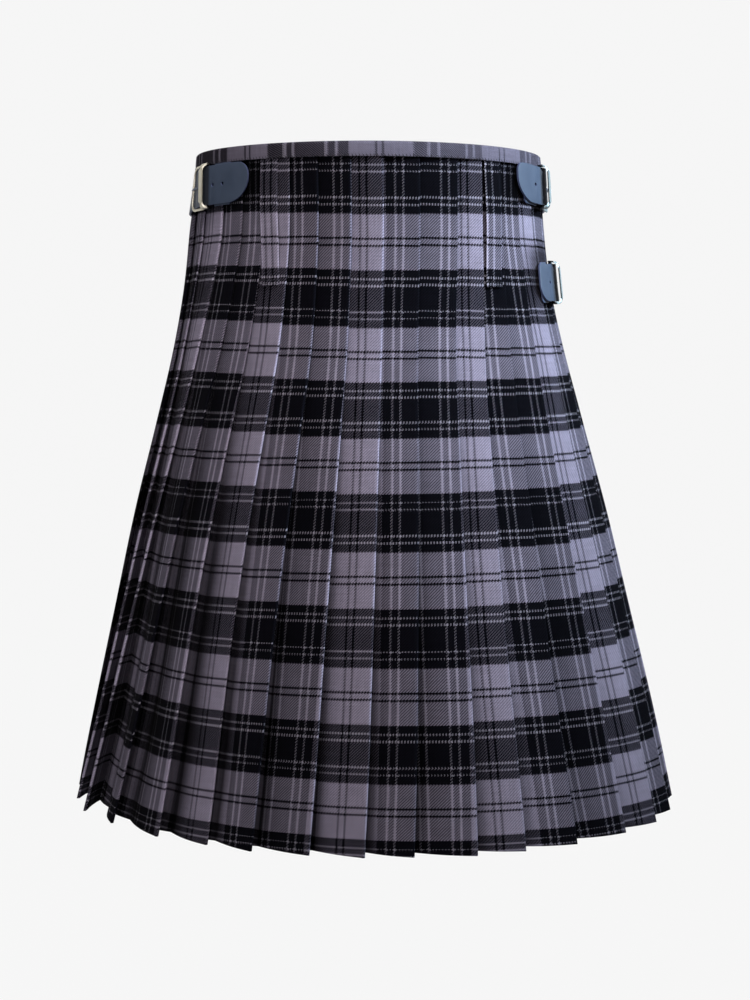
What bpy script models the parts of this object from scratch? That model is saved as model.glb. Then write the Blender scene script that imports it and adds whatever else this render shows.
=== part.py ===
"""A Scottish kilt as it hangs when it is worn: pleated back, two front aprons, waistband,
belt loops, and three leather straps with buckles.

Everything is laid out on one smooth envelope, the surface that the outermost folds touch.
A place on it has three measures, as a kilt maker would take them:
  around  along the envelope from the centre back, positive towards the wearer's right
  out     away from the body, from the envelope (negative is inside it)
  down    from the sloping top edge of the kilt
Metres, +Z up. The wearer faces +Y, so the pleats face -Y. The origin is the centre of the
waist opening.
"""
import math
from collections import namedtuple

import bmesh
import bpy
import numpy as np

MM = 0.001

# Cloth and seams
CLOTH = 1.2 * MM            # thickness of the twill
LAYER_GAP = 0.5 * MM        # air between two folded layers
SEAM = 0.3 * MM             # space left between two pieces that meet
LAYER = CLOTH + LAYER_GAP
LONGEST_UNDERLAY = 0.78     # of the pleat's width, where the pleats are narrow

# Height of the kilt
LENGTH = 600 * MM           # top edge to hem at the centre back, measured upright
TOP_BACK = 13 * MM          # the back of the waist stands this far above the origin
TOP_FALL = 0.11             # fall of the top edge per metre from back to front
HEM_TILT = 0.013            # the hem hangs lower on the wearer's right, per metre across

# Sections through the envelope, each measured at its own distance below the back's top.
# step is how far a pleat's folded edge stands out over the next pleat, underlay is how far
# the cloth is folded back under it, and sway moves the whole section sideways. All in mm.
Section = namedtuple("Section", "below half_width back_depth front_depth step underlay sway")
SECTIONS = [
    Section(0, 156.0, 124, 108, 3.8, 15, 0.0),
    Section(45, 159.0, 124.5, 111, 3.8, 16, 0.5),
    Section(90, 163.0, 125.5, 115, 4.0, 17, 1.0),
    Section(135, 169.0, 131, 120, 4.3, 19, 2.0),
    Section(180, 178.0, 143, 126, 4.8, 22, 3.0),
    Section(250, 195.5, 170, 137, 7.8, 26, 4.0),
    Section(335, 218.0, 198, 149, 11.0, 30, 5.0),
    Section(425, 239.0, 218, 159, 13.5, 33, 6.0),
    Section(512, 259.5, 230, 166, 15.5, 36, 7.0),
    Section(600, 280.0, 235, 172, 16.5, 38, 7.0),
]
LEVELS = tuple(row.below for row in SECTIONS)     # rows of points down the cloth, in mm
WAIST, FELL_END, HEM = 84, 178, 588      # where the pleat edges below were measured, in mm

# The pleats, from the wearer's left to right. band is the band of the tartan that lies on the
# pleat's face, and the rest is where its folded edge runs, in mm around from the centre back.
Pleat = namedtuple("Pleat", "band waist fell_end hem")
PLEATS = [
    Pleat("dark", -197, -227, -412),
    Pleat("dark", -170, -199, -361),
    Pleat("light", -140, -171, -316),
    Pleat("dark", -116, -141, -262),
    Pleat("dark", -93, -111, -204),
    Pleat("light", -68, -80, -150),
    Pleat("dark", -42, -50, -105),
    Pleat("dark", -13, -19, -54),
    Pleat("light", 15, 11, -7),
    Pleat("dark", 47, 42, 35),
    Pleat("dark", 82, 77, 89),
    Pleat("light", 107, 106, 134),
    Pleat("dark", 129, 133, 186),
    Pleat("dark", 151, 165, 248),
    Pleat("light", 174, 195, 299),
    Pleat("dark", 197, 226, 350),
    Pleat("dark", 220, 257, 402),
]

# The front. Places around at the waist and at the hem.
Edge = namedtuple("Edge", "waist hem")
LEFT_SEAM_AHEAD = 9 * MM                 # the over-apron meets the first pleat's inner fold here
RIGHT_SEAM_AHEAD = Edge(12 * MM, 30 * MM)        # the under-apron starts this far past the last
OVER_FREE_EDGE = Edge(243 * MM, 434 * MM)        # over-apron's open edge, on the wearer's right
UNDER_FREE_EDGE = Edge(-262 * MM, -476 * MM)     # under-apron's open edge, on the wearer's left
UNDER_OUT = -5.1 * MM                    # outer face of the under-apron
APRON_STATIONS = 34

# Waistband: a strip folded over the top edge
BAND_DOWN = 11.5 * MM                    # outer leg
BAND_INNER_DOWN = 9 * MM                 # inner leg
BAND_OUT = 0.45 * MM                     # clear of the cloth on both faces
BAND_STATION = 11 * MM                   # longest straight run along the band
UNDER_BAND_START = 222 * MM

# Belt loops
LOOP_WIDTH = 16.5 * MM
LOOP_TOP = 12.2 * MM
LOOP_BOTTOM = 121 * MM
LOOP_RISE = 2.6 * MM                     # room for a belt behind the middle of the loop
LOOP_AROUND = {"left": -86 * MM, "right": 119 * MM}

# Leather straps and buckles. along is measured from the buckle's heel bar towards the strap's
# sewn root, and the tongue is on the other side of the bar.
LEATHER_GAP = 0.6 * MM                   # under the lowest leather, which spans the cloth's folds
LEATHER_RUN = 7 * MM                     # longest straight run along a strap
STRAP_THICK = 2.0 * MM
STRAP_HALF = 17.2 * MM
TAB_THICK = 1.2 * MM
TAB_HALF = 18.6 * MM
TAB_BAR_HALF = 16.4 * MM                 # narrowed where it folds round the bar
TAB_LENGTH = 30 * MM
TAB_TURN_BACK = 15 * MM
WIRE = 1.4 * MM                          # radius of the buckle's wire
BUCKLE_LENGTH = 32 * MM                  # heel bar to front bar, on centres
BUCKLE_HALF = 20.4 * MM                  # on centres
BUCKLE_CORNER = 3.4 * MM
HEEL_OUT = LEATHER_GAP + TAB_THICK + SEAM + WIRE
STRAP_UNDER_BAR = 2.0 * MM               # middle of the strap below the front bar
FRONT_OUT = STRAP_UNDER_BAR + STRAP_THICK / 2 + SEAM + WIRE
PRONG = 0.9 * MM
PRONG_HOOK = WIRE + SEAM + PRONG
HOLE = 2.1 * MM
PRONG_SLOT = (1.4 * MM, 10.8 * MM)       # slot in the strap that the prong comes up through
PRONG_ROOM = 0.4 * MM                    # either side of the prong in its slots
TIP_ROUNDING = 12 * MM
TOOL_OUT = 12 * MM                       # how far cutting prisms stand out
SLIT_ALONG = 85 * MM                     # from the left heel bar to the slit in the over-apron
SLIT_HALF = 3.4 * MM

# side is +1 where the strap comes from the wearer's right and -1 where it comes from the left.
Fastening = namedtuple("Fastening", "name side heel down tongue root_start root_end holes")
FASTENINGS = [
    Fastening("left", -1, -156 * MM, 31 * MM, 53 * MM, 110 * MM, 150 * MM, (-13, -23)),
    Fastening("right", 1, 189 * MM, 31 * MM, 44 * MM, 58 * MM, 100 * MM, (-10, -20)),
    Fastening("hip", 1, 207 * MM, 112.5 * MM, 30 * MM, 80 * MM, 122 * MM, (-12, -21)),
]

LAVENDER = (0.125, 0.118, 0.165)
BLACK_TWILL = (0.030, 0.030, 0.038)
LEATHER = (0.030, 0.036, 0.055)
PALE_METAL = (0.76, 0.73, 0.62)


# ---------------------------------------------------------------- envelope

def column(name, below):
    """A column of SECTIONS at any distance below the top, on a smooth curve, in metres."""
    knots = np.array([row.below for row in SECTIONS]) * MM
    values = np.array([getattr(row, name) for row in SECTIONS]) * MM
    slopes = np.gradient(values, knots)
    below = min(max(below, knots[0]), knots[-1])
    i = min(int(np.searchsorted(knots, below, side="right")) - 1, len(knots) - 2)
    width = knots[i + 1] - knots[i]
    t = (below - knots[i]) / width
    return float(values[i] * (1 + 2 * t) * (1 - t) ** 2 + slopes[i] * width * t * (1 - t) ** 2
                 + values[i + 1] * t * t * (3 - 2 * t)
                 + slopes[i + 1] * width * t * t * (t - 1))


class Ring:
    """The envelope's level section at one height, two half ellipses that meet at the sides."""

    def __init__(self, below):
        self.width = column("half_width", below)
        self.back = column("back_depth", below)
        self.front = column("front_depth", below)
        self.turn = np.linspace(-math.pi, math.pi, 721)
        depth = np.where(np.abs(self.turn) <= math.pi / 2, self.back, self.front)
        x, y = self.width * np.sin(self.turn), -depth * np.cos(self.turn)
        run = np.concatenate([[0], np.cumsum(np.hypot(np.diff(x), np.diff(y)))])
        self.half = run[-1] / 2
        self.around = run - self.half

    def place(self, around, out):
        around = (around + self.half) % (2 * self.half) - self.half
        turn = float(np.interp(around, self.around, self.turn))
        depth = self.back if abs(turn) <= math.pi / 2 else self.front
        x, y = self.width * math.sin(turn), -depth * math.cos(turn)
        across, towards = depth * math.sin(turn), -self.width * math.cos(turn)
        size = math.hypot(across, towards)
        return x + across / size * out, y + towards / size * out


RINGS = {}


def ring(below):
    key = round(below / MM, 2)
    if key not in RINGS:
        RINGS[key] = Ring(below)
    return RINGS[key]


def top_edge(around):
    """How far the sloping top edge lies below the back's top."""
    level = ring(0)
    return TOP_FALL * (level.place(around, 0)[1] + level.back)


def at_level(around, out, below):
    x, y = ring(below).place(around, out)
    share = below / LENGTH
    return (x + column("sway", below), y, TOP_BACK - below - HEM_TILT * x * share)


def on_kilt(around, out, down):
    """A point by its distance below the top edge. The cloth is straight between its rows of
    points, so where that puts it outside the envelope, what lies on it moves out as far."""
    start = top_edge(around)
    below = start + down
    share = down / (LENGTH - start) * LEVELS[-1]
    row = min(max(int(np.searchsorted(LEVELS, share, side="right")) - 1, 0), len(LEVELS) - 2)
    upper, lower = (start + (LENGTH - start) * LEVELS[row + k] / LEVELS[-1] for k in (0, 1))
    between = (below - upper) / (lower - upper)
    straight = [a * (1 - between) + b * between
                for a, b in zip(at_level(around, 0, upper), at_level(around, 0, lower))]
    curved = at_level(around, 0, below)
    proud = math.hypot(*straight[:2]) - math.hypot(*curved[:2])
    return at_level(around, out + max(0.0, proud), below)


# ---------------------------------------------------------------- solids

def material(name, colour, roughness, metallic=0.0):
    made = bpy.data.materials.new(name)
    made.use_nodes = True
    shader = made.node_tree.nodes["Principled BSDF"]
    shader.inputs["Base Color"].default_value = (*colour, 1)
    shader.inputs["Roughness"].default_value = roughness
    shader.inputs["Metallic"].default_value = metallic
    return made


def add_solid(name, points, faces, made_of):
    mesh = bpy.data.meshes.new(name)
    mesh.from_pydata(points, [], faces)
    shape = bmesh.new()
    shape.from_mesh(mesh)
    bmesh.ops.recalc_face_normals(shape, faces=shape.faces)
    shape.to_mesh(mesh)
    shape.free()
    mesh.materials.append(made_of)
    solid = bpy.data.objects.new(name, mesh)
    bpy.context.collection.objects.link(solid)
    return solid


def slab(name, outer, inner, made_of):
    """A closed wall between two grids of points. outer[i][j] faces inner[i][j]."""
    long, wide = len(outer), len(outer[0])
    points = [p for line in outer for p in line] + [p for line in inner for p in line]
    below = long * wide

    def both(i, j):
        return i * wide + j, below + i * wide + j

    faces = []
    for i in range(long - 1):
        # Where folded layers lie on each other they are cut into triangles the same way.
        forward = np.subtract(outer[i + 1][0], outer[i][0])
        across = np.cross(outer[i][0], forward)[2] > 0
        for j in range(wide - 1):
            for side in (0, 1):
                a, b = both(i, j)[side], both(i + 1, j)[side]
                c, d = both(i + 1, j + 1)[side], both(i, j + 1)[side]
                faces += [(a, b, c), (a, c, d)] if across else [(a, b, d), (b, c, d)]
    for i in range(long - 1):
        for j in (0, wide - 1):
            faces.append((*both(i, j), *both(i + 1, j)[::-1]))
    for j in range(wide - 1):
        for i in (0, long - 1):
            faces.append((*both(i, j), *both(i, j + 1)[::-1]))
    return add_solid(name, points, faces, made_of)


def two_sides(line, thickness):
    """The two faces of a strip whose middle follows a flat line of (a, b) points."""
    line = np.array(line, float)
    step = np.diff(line, axis=0)
    step /= np.linalg.norm(step, axis=1)[:, None]
    normal = np.stack([-step[:, 1], step[:, 0]], axis=1)
    before, after = np.vstack([normal[:1], normal]), np.vstack([normal, normal[-1:]])
    mitre = before + after
    mitre /= np.sum(mitre * after, axis=1)[:, None]
    return line + mitre * thickness / 2, line - mitre * thickness / 2


def rod(name, path, radius, flat_axis, closed, made_of, sides=8):
    """A round wire along a path of (around, out, down) points, bent only across flat_axis."""
    path = np.array(path, float)
    steps = np.roll(path, -1, axis=0) - np.roll(path, 1, axis=0)
    if not closed:
        steps[0], steps[-1] = path[1] - path[0], path[-1] - path[-2]
    points, faces = [], []
    for place, step, size in zip(path, steps, np.broadcast_to(radius, len(path))):
        sideways = np.cross(step / np.linalg.norm(step), flat_axis)
        sideways /= np.linalg.norm(sideways)
        for k in range(sides):
            angle = 2 * math.pi * (k + 0.5) / sides
            spot = place + size * (math.cos(angle) * sideways
                                   + math.sin(angle) * np.array(flat_axis))
            points.append(on_kilt(*spot))
    count = len(path)
    for i in range(count if closed else count - 1):
        here, following = i * sides, (i + 1) % count * sides
        for k in range(sides):
            right = (k + 1) % sides
            faces.append((here + k, here + right, following + right, following + k))
    if not closed:
        faces.append(tuple(range(sides)))
        faces.append(tuple(range((count - 1) * sides, count * sides)))
    return add_solid(name, points, faces, made_of)


def cutter(name, around, down, out, corners):
    """A prism through a wall. corners are (around, down) offsets from its middle."""
    points = [on_kilt(around + a, o, down + d) for o in out for a, d in corners]
    count = len(corners)
    faces = [tuple(range(count)), tuple(range(count, 2 * count))]
    for k in range(count):
        right = (k + 1) % count
        faces.append((k, right, right + count, k + count))
    tool = add_solid(name, points, faces, MATERIALS["leather"])
    tool.hide_render = True
    tool.display_type = "WIRE"
    return tool


def cut(solid, tool):
    change = solid.modifiers.new(tool.name, "BOOLEAN")
    change.operation = "DIFFERENCE"
    change.object = tool


def rectangle(half_around, half_down):
    return [(-half_around, -half_down), (half_around, -half_down),
            (half_around, half_down), (-half_around, half_down)]


def circle(radius, sides=10):
    return [(radius * math.cos(2 * math.pi * k / sides), radius * math.sin(2 * math.pi * k / sides))
            for k in range(sides)]


# ---------------------------------------------------------------- cloth

def pleat_edge(pleat, below):
    """Where a pleat's folded edge lies around the kilt at a level."""
    levels = [WAIST * MM, FELL_END * MM, HEM * MM]
    places = [pleat.waist * MM, pleat.fell_end * MM, pleat.hem * MM]
    if below <= levels[0]:
        return places[0]
    if below <= levels[1]:
        return float(np.interp(below, levels, places))
    slope = (places[2] - places[1]) / (levels[2] - levels[1])
    return places[1] + slope * (below - levels[1])


def edge_at(edge, below):
    return edge.waist + (edge.hem - edge.waist) * below / LENGTH


def fold_back(below, face_width):
    """The underlay under one pleat, which stays short of the pleat before."""
    return min(column("underlay", below), LONGEST_UNDERLAY * face_width)


def left_seam(below):
    first = pleat_edge(PLEATS[0], below)
    return first - column("underlay", below) - LEFT_SEAM_AHEAD


def right_seam(below):
    return pleat_edge(PLEATS[-1], below) + edge_at(RIGHT_SEAM_AHEAD, below)


def pleat_line(below):
    """The middle of the folded cloth at one level, as (around, out) points."""
    step = column("step", below)
    line = [(left_seam(below) + SEAM, -CLOTH / 2)]
    before = left_seam(below)
    for k, pleat in enumerate(PLEATS):
        edge = pleat_edge(pleat, below)
        face = edge - before
        rise = step if k else 0.0
        under = fold_back(below, face)
        stations = (edge - under, edge - under / 2, edge)
        face_out = [-CLOTH / 2 - rise * (edge - place) / face for place in stations]
        deep = [face_out[0] - 2 * LAYER, face_out[1] - 2 * LAYER, -step - CLOTH / 2]
        deep[1] = min(deep[1], (deep[0] + deep[2]) / 2)
        line += list(zip(stations, face_out))
        line += [(place, out - LAYER) for place, out in zip(stations[::-1], face_out[::-1])]
        line += list(zip(stations, deep))
        before = edge
    line.append((right_seam(below), UNDER_OUT - CLOTH / 2))
    return line


def rows_down(around_at_waist):
    """Levels of the cloth under one place, from the sloping top edge to the hem."""
    start = top_edge(around_at_waist)
    return [start + (LENGTH - start) * level / LEVELS[-1] for level in LEVELS]


def pleated_back():
    walls = ([], [])
    for i, (place, _) in enumerate(pleat_line(0)):
        lines = ([], [])
        for below in rows_down(place):
            for line, side in zip(lines, two_sides(pleat_line(below), CLOTH)):
                line.append(at_level(*side[i], below))
        for wall, line in zip(walls, lines):
            wall.append(line)
    slab("pleated_back", *walls, MATERIALS["light_tartan"])


def apron(name, start, end, middle_out):
    """A smooth panel at one depth. start and end give where its edges run at a level."""
    walls = ([], [])
    for i in range(APRON_STATIONS):
        share = i / (APRON_STATIONS - 1)
        waist_place = start(0) + (end(0) - start(0)) * share
        rows = rows_down(waist_place)
        for wall, face in zip(walls, (CLOTH / 2, -CLOTH / 2)):
            line = []
            for level in rows:
                place = start(level) + (end(level) - start(level)) * share
                line.append(at_level(place, middle_out + face, level))
            wall.append(line)
    return slab(name, *walls, MATERIALS["light_tartan"])


def past_front(around, below):
    """The same place on the ring, counted on past the centre front."""
    return around - math.copysign(2 * ring(below).half, around)


def over_apron():
    panel = apron("over_apron",
                  lambda below: past_front(edge_at(OVER_FREE_EDGE, below), below),
                  left_seam, -CLOTH / 2)
    fastening = FASTENINGS[0]
    slit = fastening.heel + fastening.side * SLIT_ALONG
    tool = cutter("slit_cutter", slit, fastening.down, (-3 * MM, 2 * MM),
                  rectangle(SLIT_HALF, STRAP_HALF + SEAM))
    cut(panel, tool)


def under_apron():
    apron("under_apron",
          lambda below: right_seam(below) + SEAM,
          lambda below: past_front(edge_at(UNDER_FREE_EDGE, below), below),
          UNDER_OUT - CLOTH / 2)


def band(name, start, end, outer_face, inner_face):
    """A strip folded over the top edge, from start to end around."""
    stations = int(math.ceil((end - start) / BAND_STATION)) + 1
    walls = ([], [])
    for i in range(stations):
        place = start + (end - start) * i / (stations - 1)
        outside = outer_face(place) + BAND_OUT + CLOTH / 2
        inside = inner_face(place) - BAND_OUT - CLOTH / 2
        over = -SEAM - CLOTH / 2
        line = [(outside, BAND_DOWN), (outside, over), (inside, over), (inside, BAND_INNER_DOWN)]
        for wall, side in zip(walls, two_sides(line, CLOTH)):
            wall.append([on_kilt(place, out, down) for out, down in side])
    slab(name, *walls, MATERIALS["dark_tartan"])


def waistbands():
    step = column("step", 0)
    pleats_deep = -(step + 2 * LAYER + CLOTH)
    first_fold, last_fold = left_seam(0), PLEATS[-1].waist * MM

    def behind_pleats(place):
        share = (place - first_fold) / LEFT_SEAM_AHEAD
        return -CLOTH + (pleats_deep + CLOTH) * min(1.0, max(0.0, share))

    def past_last_fold(place):
        share = min(1.0, (place - last_fold) / (right_seam(0) - last_fold))
        return -step + (UNDER_OUT + step) * share

    band("waistband", past_front(OVER_FREE_EDGE.waist, 0), last_fold + CLOTH,
         lambda place: 0.0, behind_pleats)
    band("under_waistband", UNDER_BAND_START, past_front(UNDER_FREE_EDGE.waist, 0),
         past_last_fold, lambda place: past_last_fold(place) - CLOTH)


def belt_loop(side):
    middle = LOOP_AROUND[side]
    seat = SEAM + CLOTH / 2
    length = LOOP_BOTTOM - LOOP_TOP
    line = []
    for share in (0, 0.06, 0.14, 0.3, 0.5, 0.7, 0.86, 0.94, 1):
        bow = math.sin(math.pi * min(1, max(0, (share - 0.06) / 0.88)))
        line.append((LOOP_TOP + length * share, seat + LOOP_RISE * bow))
    walls = ([], [])
    for wall, face in zip(walls, two_sides(line, CLOTH)):
        for down, out in face:
            wall.append([on_kilt(middle + LOOP_WIDTH * across, out, down)
                         for across in (-0.5, 0, 0.5)])
    slab("belt_loop_" + side, *walls, MATERIALS["light_tartan"])


# ---------------------------------------------------------------- straps and buckles

def divided(line, longest):
    """The same line with its long straight runs cut into shorter ones."""
    fine = [line[0]]
    for (a, b), (c, d) in zip(line, line[1:]):
        parts = int(math.ceil(abs(c - a) / longest))
        fine += [(a + (c - a) * k / parts, b + (d - b) * k / parts)
                 for k in range(1, parts)] if parts > 1 else []
        fine.append((c, d))
    return fine


def strip(name, fastening, line, thickness, half_at, made_of):
    """A flat leather strip along (along, out) points, with its half width at each point."""
    line = divided(line, LEATHER_RUN)
    walls = ([], [])
    for wall, face in zip(walls, two_sides(line, thickness)):
        for (along, _), (at, out) in zip(line, face):
            place = fastening.heel + fastening.side * at
            half = half_at(along)
            wall.append([on_kilt(place, out, fastening.down + half * across)
                         for across in (-1, 0, 1)])
    return slab(name, *walls, made_of)


def strap(fastening):
    """The strap: sewn root, under the front bar, over the heel bar, and its free tongue."""
    half_thick = STRAP_THICK / 2
    on_one_tab_layer = LEATHER_GAP + TAB_THICK + SEAM + half_thick
    on_tab = on_one_tab_layer + TAB_THICK + SEAM
    over_bar = HEEL_OUT + PRONG_HOOK + PRONG + SEAM + half_thick
    flat = LEATHER_GAP + half_thick
    tip = -fastening.tongue
    line = [(tip, flat + 0.4 * MM)]
    line += [(tip + 2 * MM, flat + 0.4 * MM), (tip + 5 * MM, flat + 0.5 * MM),
             (tip + 10 * MM, flat + 0.7 * MM)] if tip < -TAB_LENGTH - 12 * MM else []
    if tip < -TAB_LENGTH - 4 * MM:
        line.append((-TAB_LENGTH - 3 * MM, on_one_tab_layer))
    else:
        line = [(tip, on_one_tab_layer), (tip + 3 * MM, on_one_tab_layer)]
    line += [(-TAB_TURN_BACK - 4 * MM, on_one_tab_layer + 0.4 * MM),
             (-TAB_TURN_BACK, on_tab), (-6 * MM, over_bar - 1.3 * MM), (0, over_bar),
             (3 * MM, over_bar - 0.3 * MM), (6 * MM, over_bar - 1.8 * MM),
             (11 * MM, 3.2 * MM), (15 * MM, STRAP_UNDER_BAR + 0.2 * MM),
             (BUCKLE_LENGTH - 5 * MM, STRAP_UNDER_BAR), (BUCKLE_LENGTH + 5 * MM, STRAP_UNDER_BAR)]
    if fastening.name == "left":
        inside = UNDER_OUT + SEAM + half_thick
        line += [(58 * MM, flat), (SLIT_ALONG - 8 * MM, flat), (SLIT_ALONG - 2 * MM, flat),
                 (SLIT_ALONG + 2 * MM, inside), (SLIT_ALONG + 9 * MM, inside)]
        root_out = inside
    else:
        line.append((BUCKLE_LENGTH + 14 * MM, flat + 0.2 * MM))
        root_out = flat
    line += [(fastening.root_start, root_out), (fastening.root_end, root_out)]

    def half_at(along):
        from_tip = along + fastening.tongue
        if from_tip >= TIP_ROUNDING:
            return STRAP_HALF
        return STRAP_HALF * (0.55 + 0.45 * math.sqrt(1 - (1 - from_tip / TIP_ROUNDING) ** 2))

    leather = strip("strap_" + fastening.name, fastening, line, STRAP_THICK, half_at,
                    MATERIALS["leather"])
    for hole in fastening.holes:
        around = fastening.heel + fastening.side * hole * MM
        cut(leather, cutter("hole_cutter_%s%d" % (fastening.name, hole), around, fastening.down,
                            (0, TOOL_OUT), circle(HOLE)))
    slot_from, slot_to = PRONG_SLOT
    around = fastening.heel + fastening.side * (slot_from + slot_to) / 2
    cut(leather, cutter("slot_cutter_" + fastening.name, around, fastening.down,
                        (0, TOOL_OUT), rectangle((slot_to - slot_from) / 2, PRONG + PRONG_ROOM)))


def tab(fastening):
    """The leather tab that holds the buckle, folded round its heel bar."""
    low = LEATHER_GAP + TAB_THICK / 2
    high = low + TAB_THICK + SEAM
    turn = WIRE + SEAM + TAB_THICK / 2
    line = [(-TAB_LENGTH, low), (-TAB_LENGTH / 2, low), (-7 * MM, low), (-3 * MM, low)]
    for angle in (-90, -55, -20, 15, 50, 85, 115):
        line.append((turn * math.cos(math.radians(angle)),
                     HEEL_OUT + turn * math.sin(math.radians(angle))))
    line += [(-8 * MM, high + 0.1 * MM), (-TAB_TURN_BACK, high)]

    def half_at(along):
        return TAB_HALF if along <= -7 * MM else TAB_BAR_HALF

    leather = strip("tab_" + fastening.name, fastening, line, TAB_THICK, half_at,
                    MATERIALS["leather"])
    notch_from, notch_to = -PRONG_HOOK - PRONG - SEAM, 5 * MM
    around = fastening.heel + fastening.side * (notch_from + notch_to) / 2
    cut(leather, cutter("notch_cutter_" + fastening.name, around, fastening.down,
                        (LEATHER_GAP + TAB_THICK + 0.1 * MM, TOOL_OUT),
                        rectangle((notch_to - notch_from) / 2, PRONG + PRONG_ROOM)))


def buckle(fastening):
    """A wire frame with round corners, its heel bar low and its front bar over the strap."""
    path = []
    corners = [(BUCKLE_LENGTH, BUCKLE_HALF, 0), (0, BUCKLE_HALF, 90),
               (0, -BUCKLE_HALF, 180), (BUCKLE_LENGTH, -BUCKLE_HALF, 270)]
    for along, down, start in corners:
        middle = (along - math.copysign(BUCKLE_CORNER, along - BUCKLE_LENGTH / 2),
                  down - math.copysign(BUCKLE_CORNER, down))
        for turn in (0, 30, 60, 90):
            angle = math.radians(start + turn)
            path.append((middle[0] + BUCKLE_CORNER * math.cos(angle),
                         middle[1] + BUCKLE_CORNER * math.sin(angle)))
        if start in (90, 270):
            path.append((along, 0))
    points = []
    for along, down in path:
        out = HEEL_OUT + (FRONT_OUT - HEEL_OUT) * along / BUCKLE_LENGTH
        points.append((fastening.heel + fastening.side * along, out, fastening.down + down))
    rod("buckle_" + fastening.name, points, WIRE, (0, 1, 0), True, MATERIALS["metal"])


def prong(fastening):
    """The prong hooks over the heel bar, comes up through the strap and rests on the front bar."""
    line = []
    for angle in (185, 155, 125, 95, 70):
        line.append((PRONG_HOOK * math.cos(math.radians(angle)),
                     HEEL_OUT + PRONG_HOOK * math.sin(math.radians(angle))))
    rest = FRONT_OUT + WIRE + SEAM + PRONG
    line += [(BUCKLE_LENGTH / 2, (HEEL_OUT + PRONG_HOOK + rest) / 2), (BUCKLE_LENGTH, rest),
             (BUCKLE_LENGTH + 2.6 * MM, rest - 0.5 * MM)]
    points = [(fastening.heel + fastening.side * along, out, fastening.down)
              for along, out in line]
    sizes = [PRONG] * (len(points) - 1) + [0.6 * PRONG]
    rod("prong_" + fastening.name, points, sizes, (0, 0, 1), False, MATERIALS["metal"])


# ---------------------------------------------------------------- the kilt

for old in list(bpy.data.objects):
    bpy.data.objects.remove(old)

MATERIALS = {
    "light_tartan": material("tartan_lavender_and_black", LAVENDER, 0.85),
    "dark_tartan": material("tartan_waistband", BLACK_TWILL, 0.85),
    "leather": material("black_leather", LEATHER, 0.45),
    "metal": material("pale_buckle_metal", PALE_METAL, 0.3, 1.0),
}

pleated_back()
over_apron()
under_apron()
waistbands()
for loop_side in LOOP_AROUND:
    belt_loop(loop_side)
for place in FASTENINGS:
    strap(place)
    tab(place)
    buckle(place)
    prong(place)
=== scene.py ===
# %% [markdown]
# # A tartan kilt, as it hangs when it is worn
#
# A kilt is one long length of worsted twill. Its two ends stay flat and cross over in front,
# and the middle is folded into knife pleats that hang down the back. This lesson dresses a
# plain solid model of one: every piece of cloth gets a finer mesh, a woven finish and soft
# folds, and the straps and buckles are modelled again with their small details.
#
# The solid model is loaded first and never changed. Everything is in metres, with +Z up. The
# wearer faces +Y, so the pleats face -Y, and the origin is the middle of the open waist.

import math
from collections import namedtuple

import bmesh
import bpy
import numpy as np
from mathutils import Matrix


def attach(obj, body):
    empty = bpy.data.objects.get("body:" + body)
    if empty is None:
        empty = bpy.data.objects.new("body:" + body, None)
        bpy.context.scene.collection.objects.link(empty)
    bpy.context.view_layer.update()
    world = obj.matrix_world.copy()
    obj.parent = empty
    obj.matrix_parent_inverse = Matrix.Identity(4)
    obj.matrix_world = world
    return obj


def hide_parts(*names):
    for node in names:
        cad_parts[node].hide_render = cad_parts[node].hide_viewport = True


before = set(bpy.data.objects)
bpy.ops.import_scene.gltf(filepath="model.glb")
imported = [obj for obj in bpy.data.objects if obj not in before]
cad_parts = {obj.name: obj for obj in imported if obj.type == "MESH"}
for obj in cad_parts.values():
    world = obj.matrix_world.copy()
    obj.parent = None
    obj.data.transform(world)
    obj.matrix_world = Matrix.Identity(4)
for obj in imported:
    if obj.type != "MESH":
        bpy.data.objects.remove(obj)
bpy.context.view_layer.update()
MM = 0.001
print("the fixed model has", len(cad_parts), "pieces")

# %% [markdown]
# ## The camera and the light
#
# The kilt is seen from behind, from a little above its middle, through a long lens that keeps
# the sides from swelling. The light is soft and pale all round, as in a white studio. A small
# cool lamp at the right of the camera shows the folds, a warmer one above it lights the cloth
# evenly, a low one at the left fills the shadows, and a large one lights the front.

# %% Camera
CAMERA_AT = (0.0085, -2.2, -0.0167)
CAMERA_TILT = 7.68      # degrees below level
SENSOR_HEIGHT = 36      # mm
LENS = 86.2             # mm

bpy.ops.object.camera_add(location=CAMERA_AT, rotation=(math.radians(90 - CAMERA_TILT), 0, 0))
camera = bpy.context.object
camera.name = "camera"
camera.data.sensor_fit = "VERTICAL"
camera.data.sensor_height = SENSOR_HEIGHT
camera.data.lens = LENS
bpy.context.scene.camera = camera
bpy.context.scene.view_settings.view_transform = "Standard"
print("camera", CAMERA_AT, "tilted", CAMERA_TILT, "degrees down")

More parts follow.
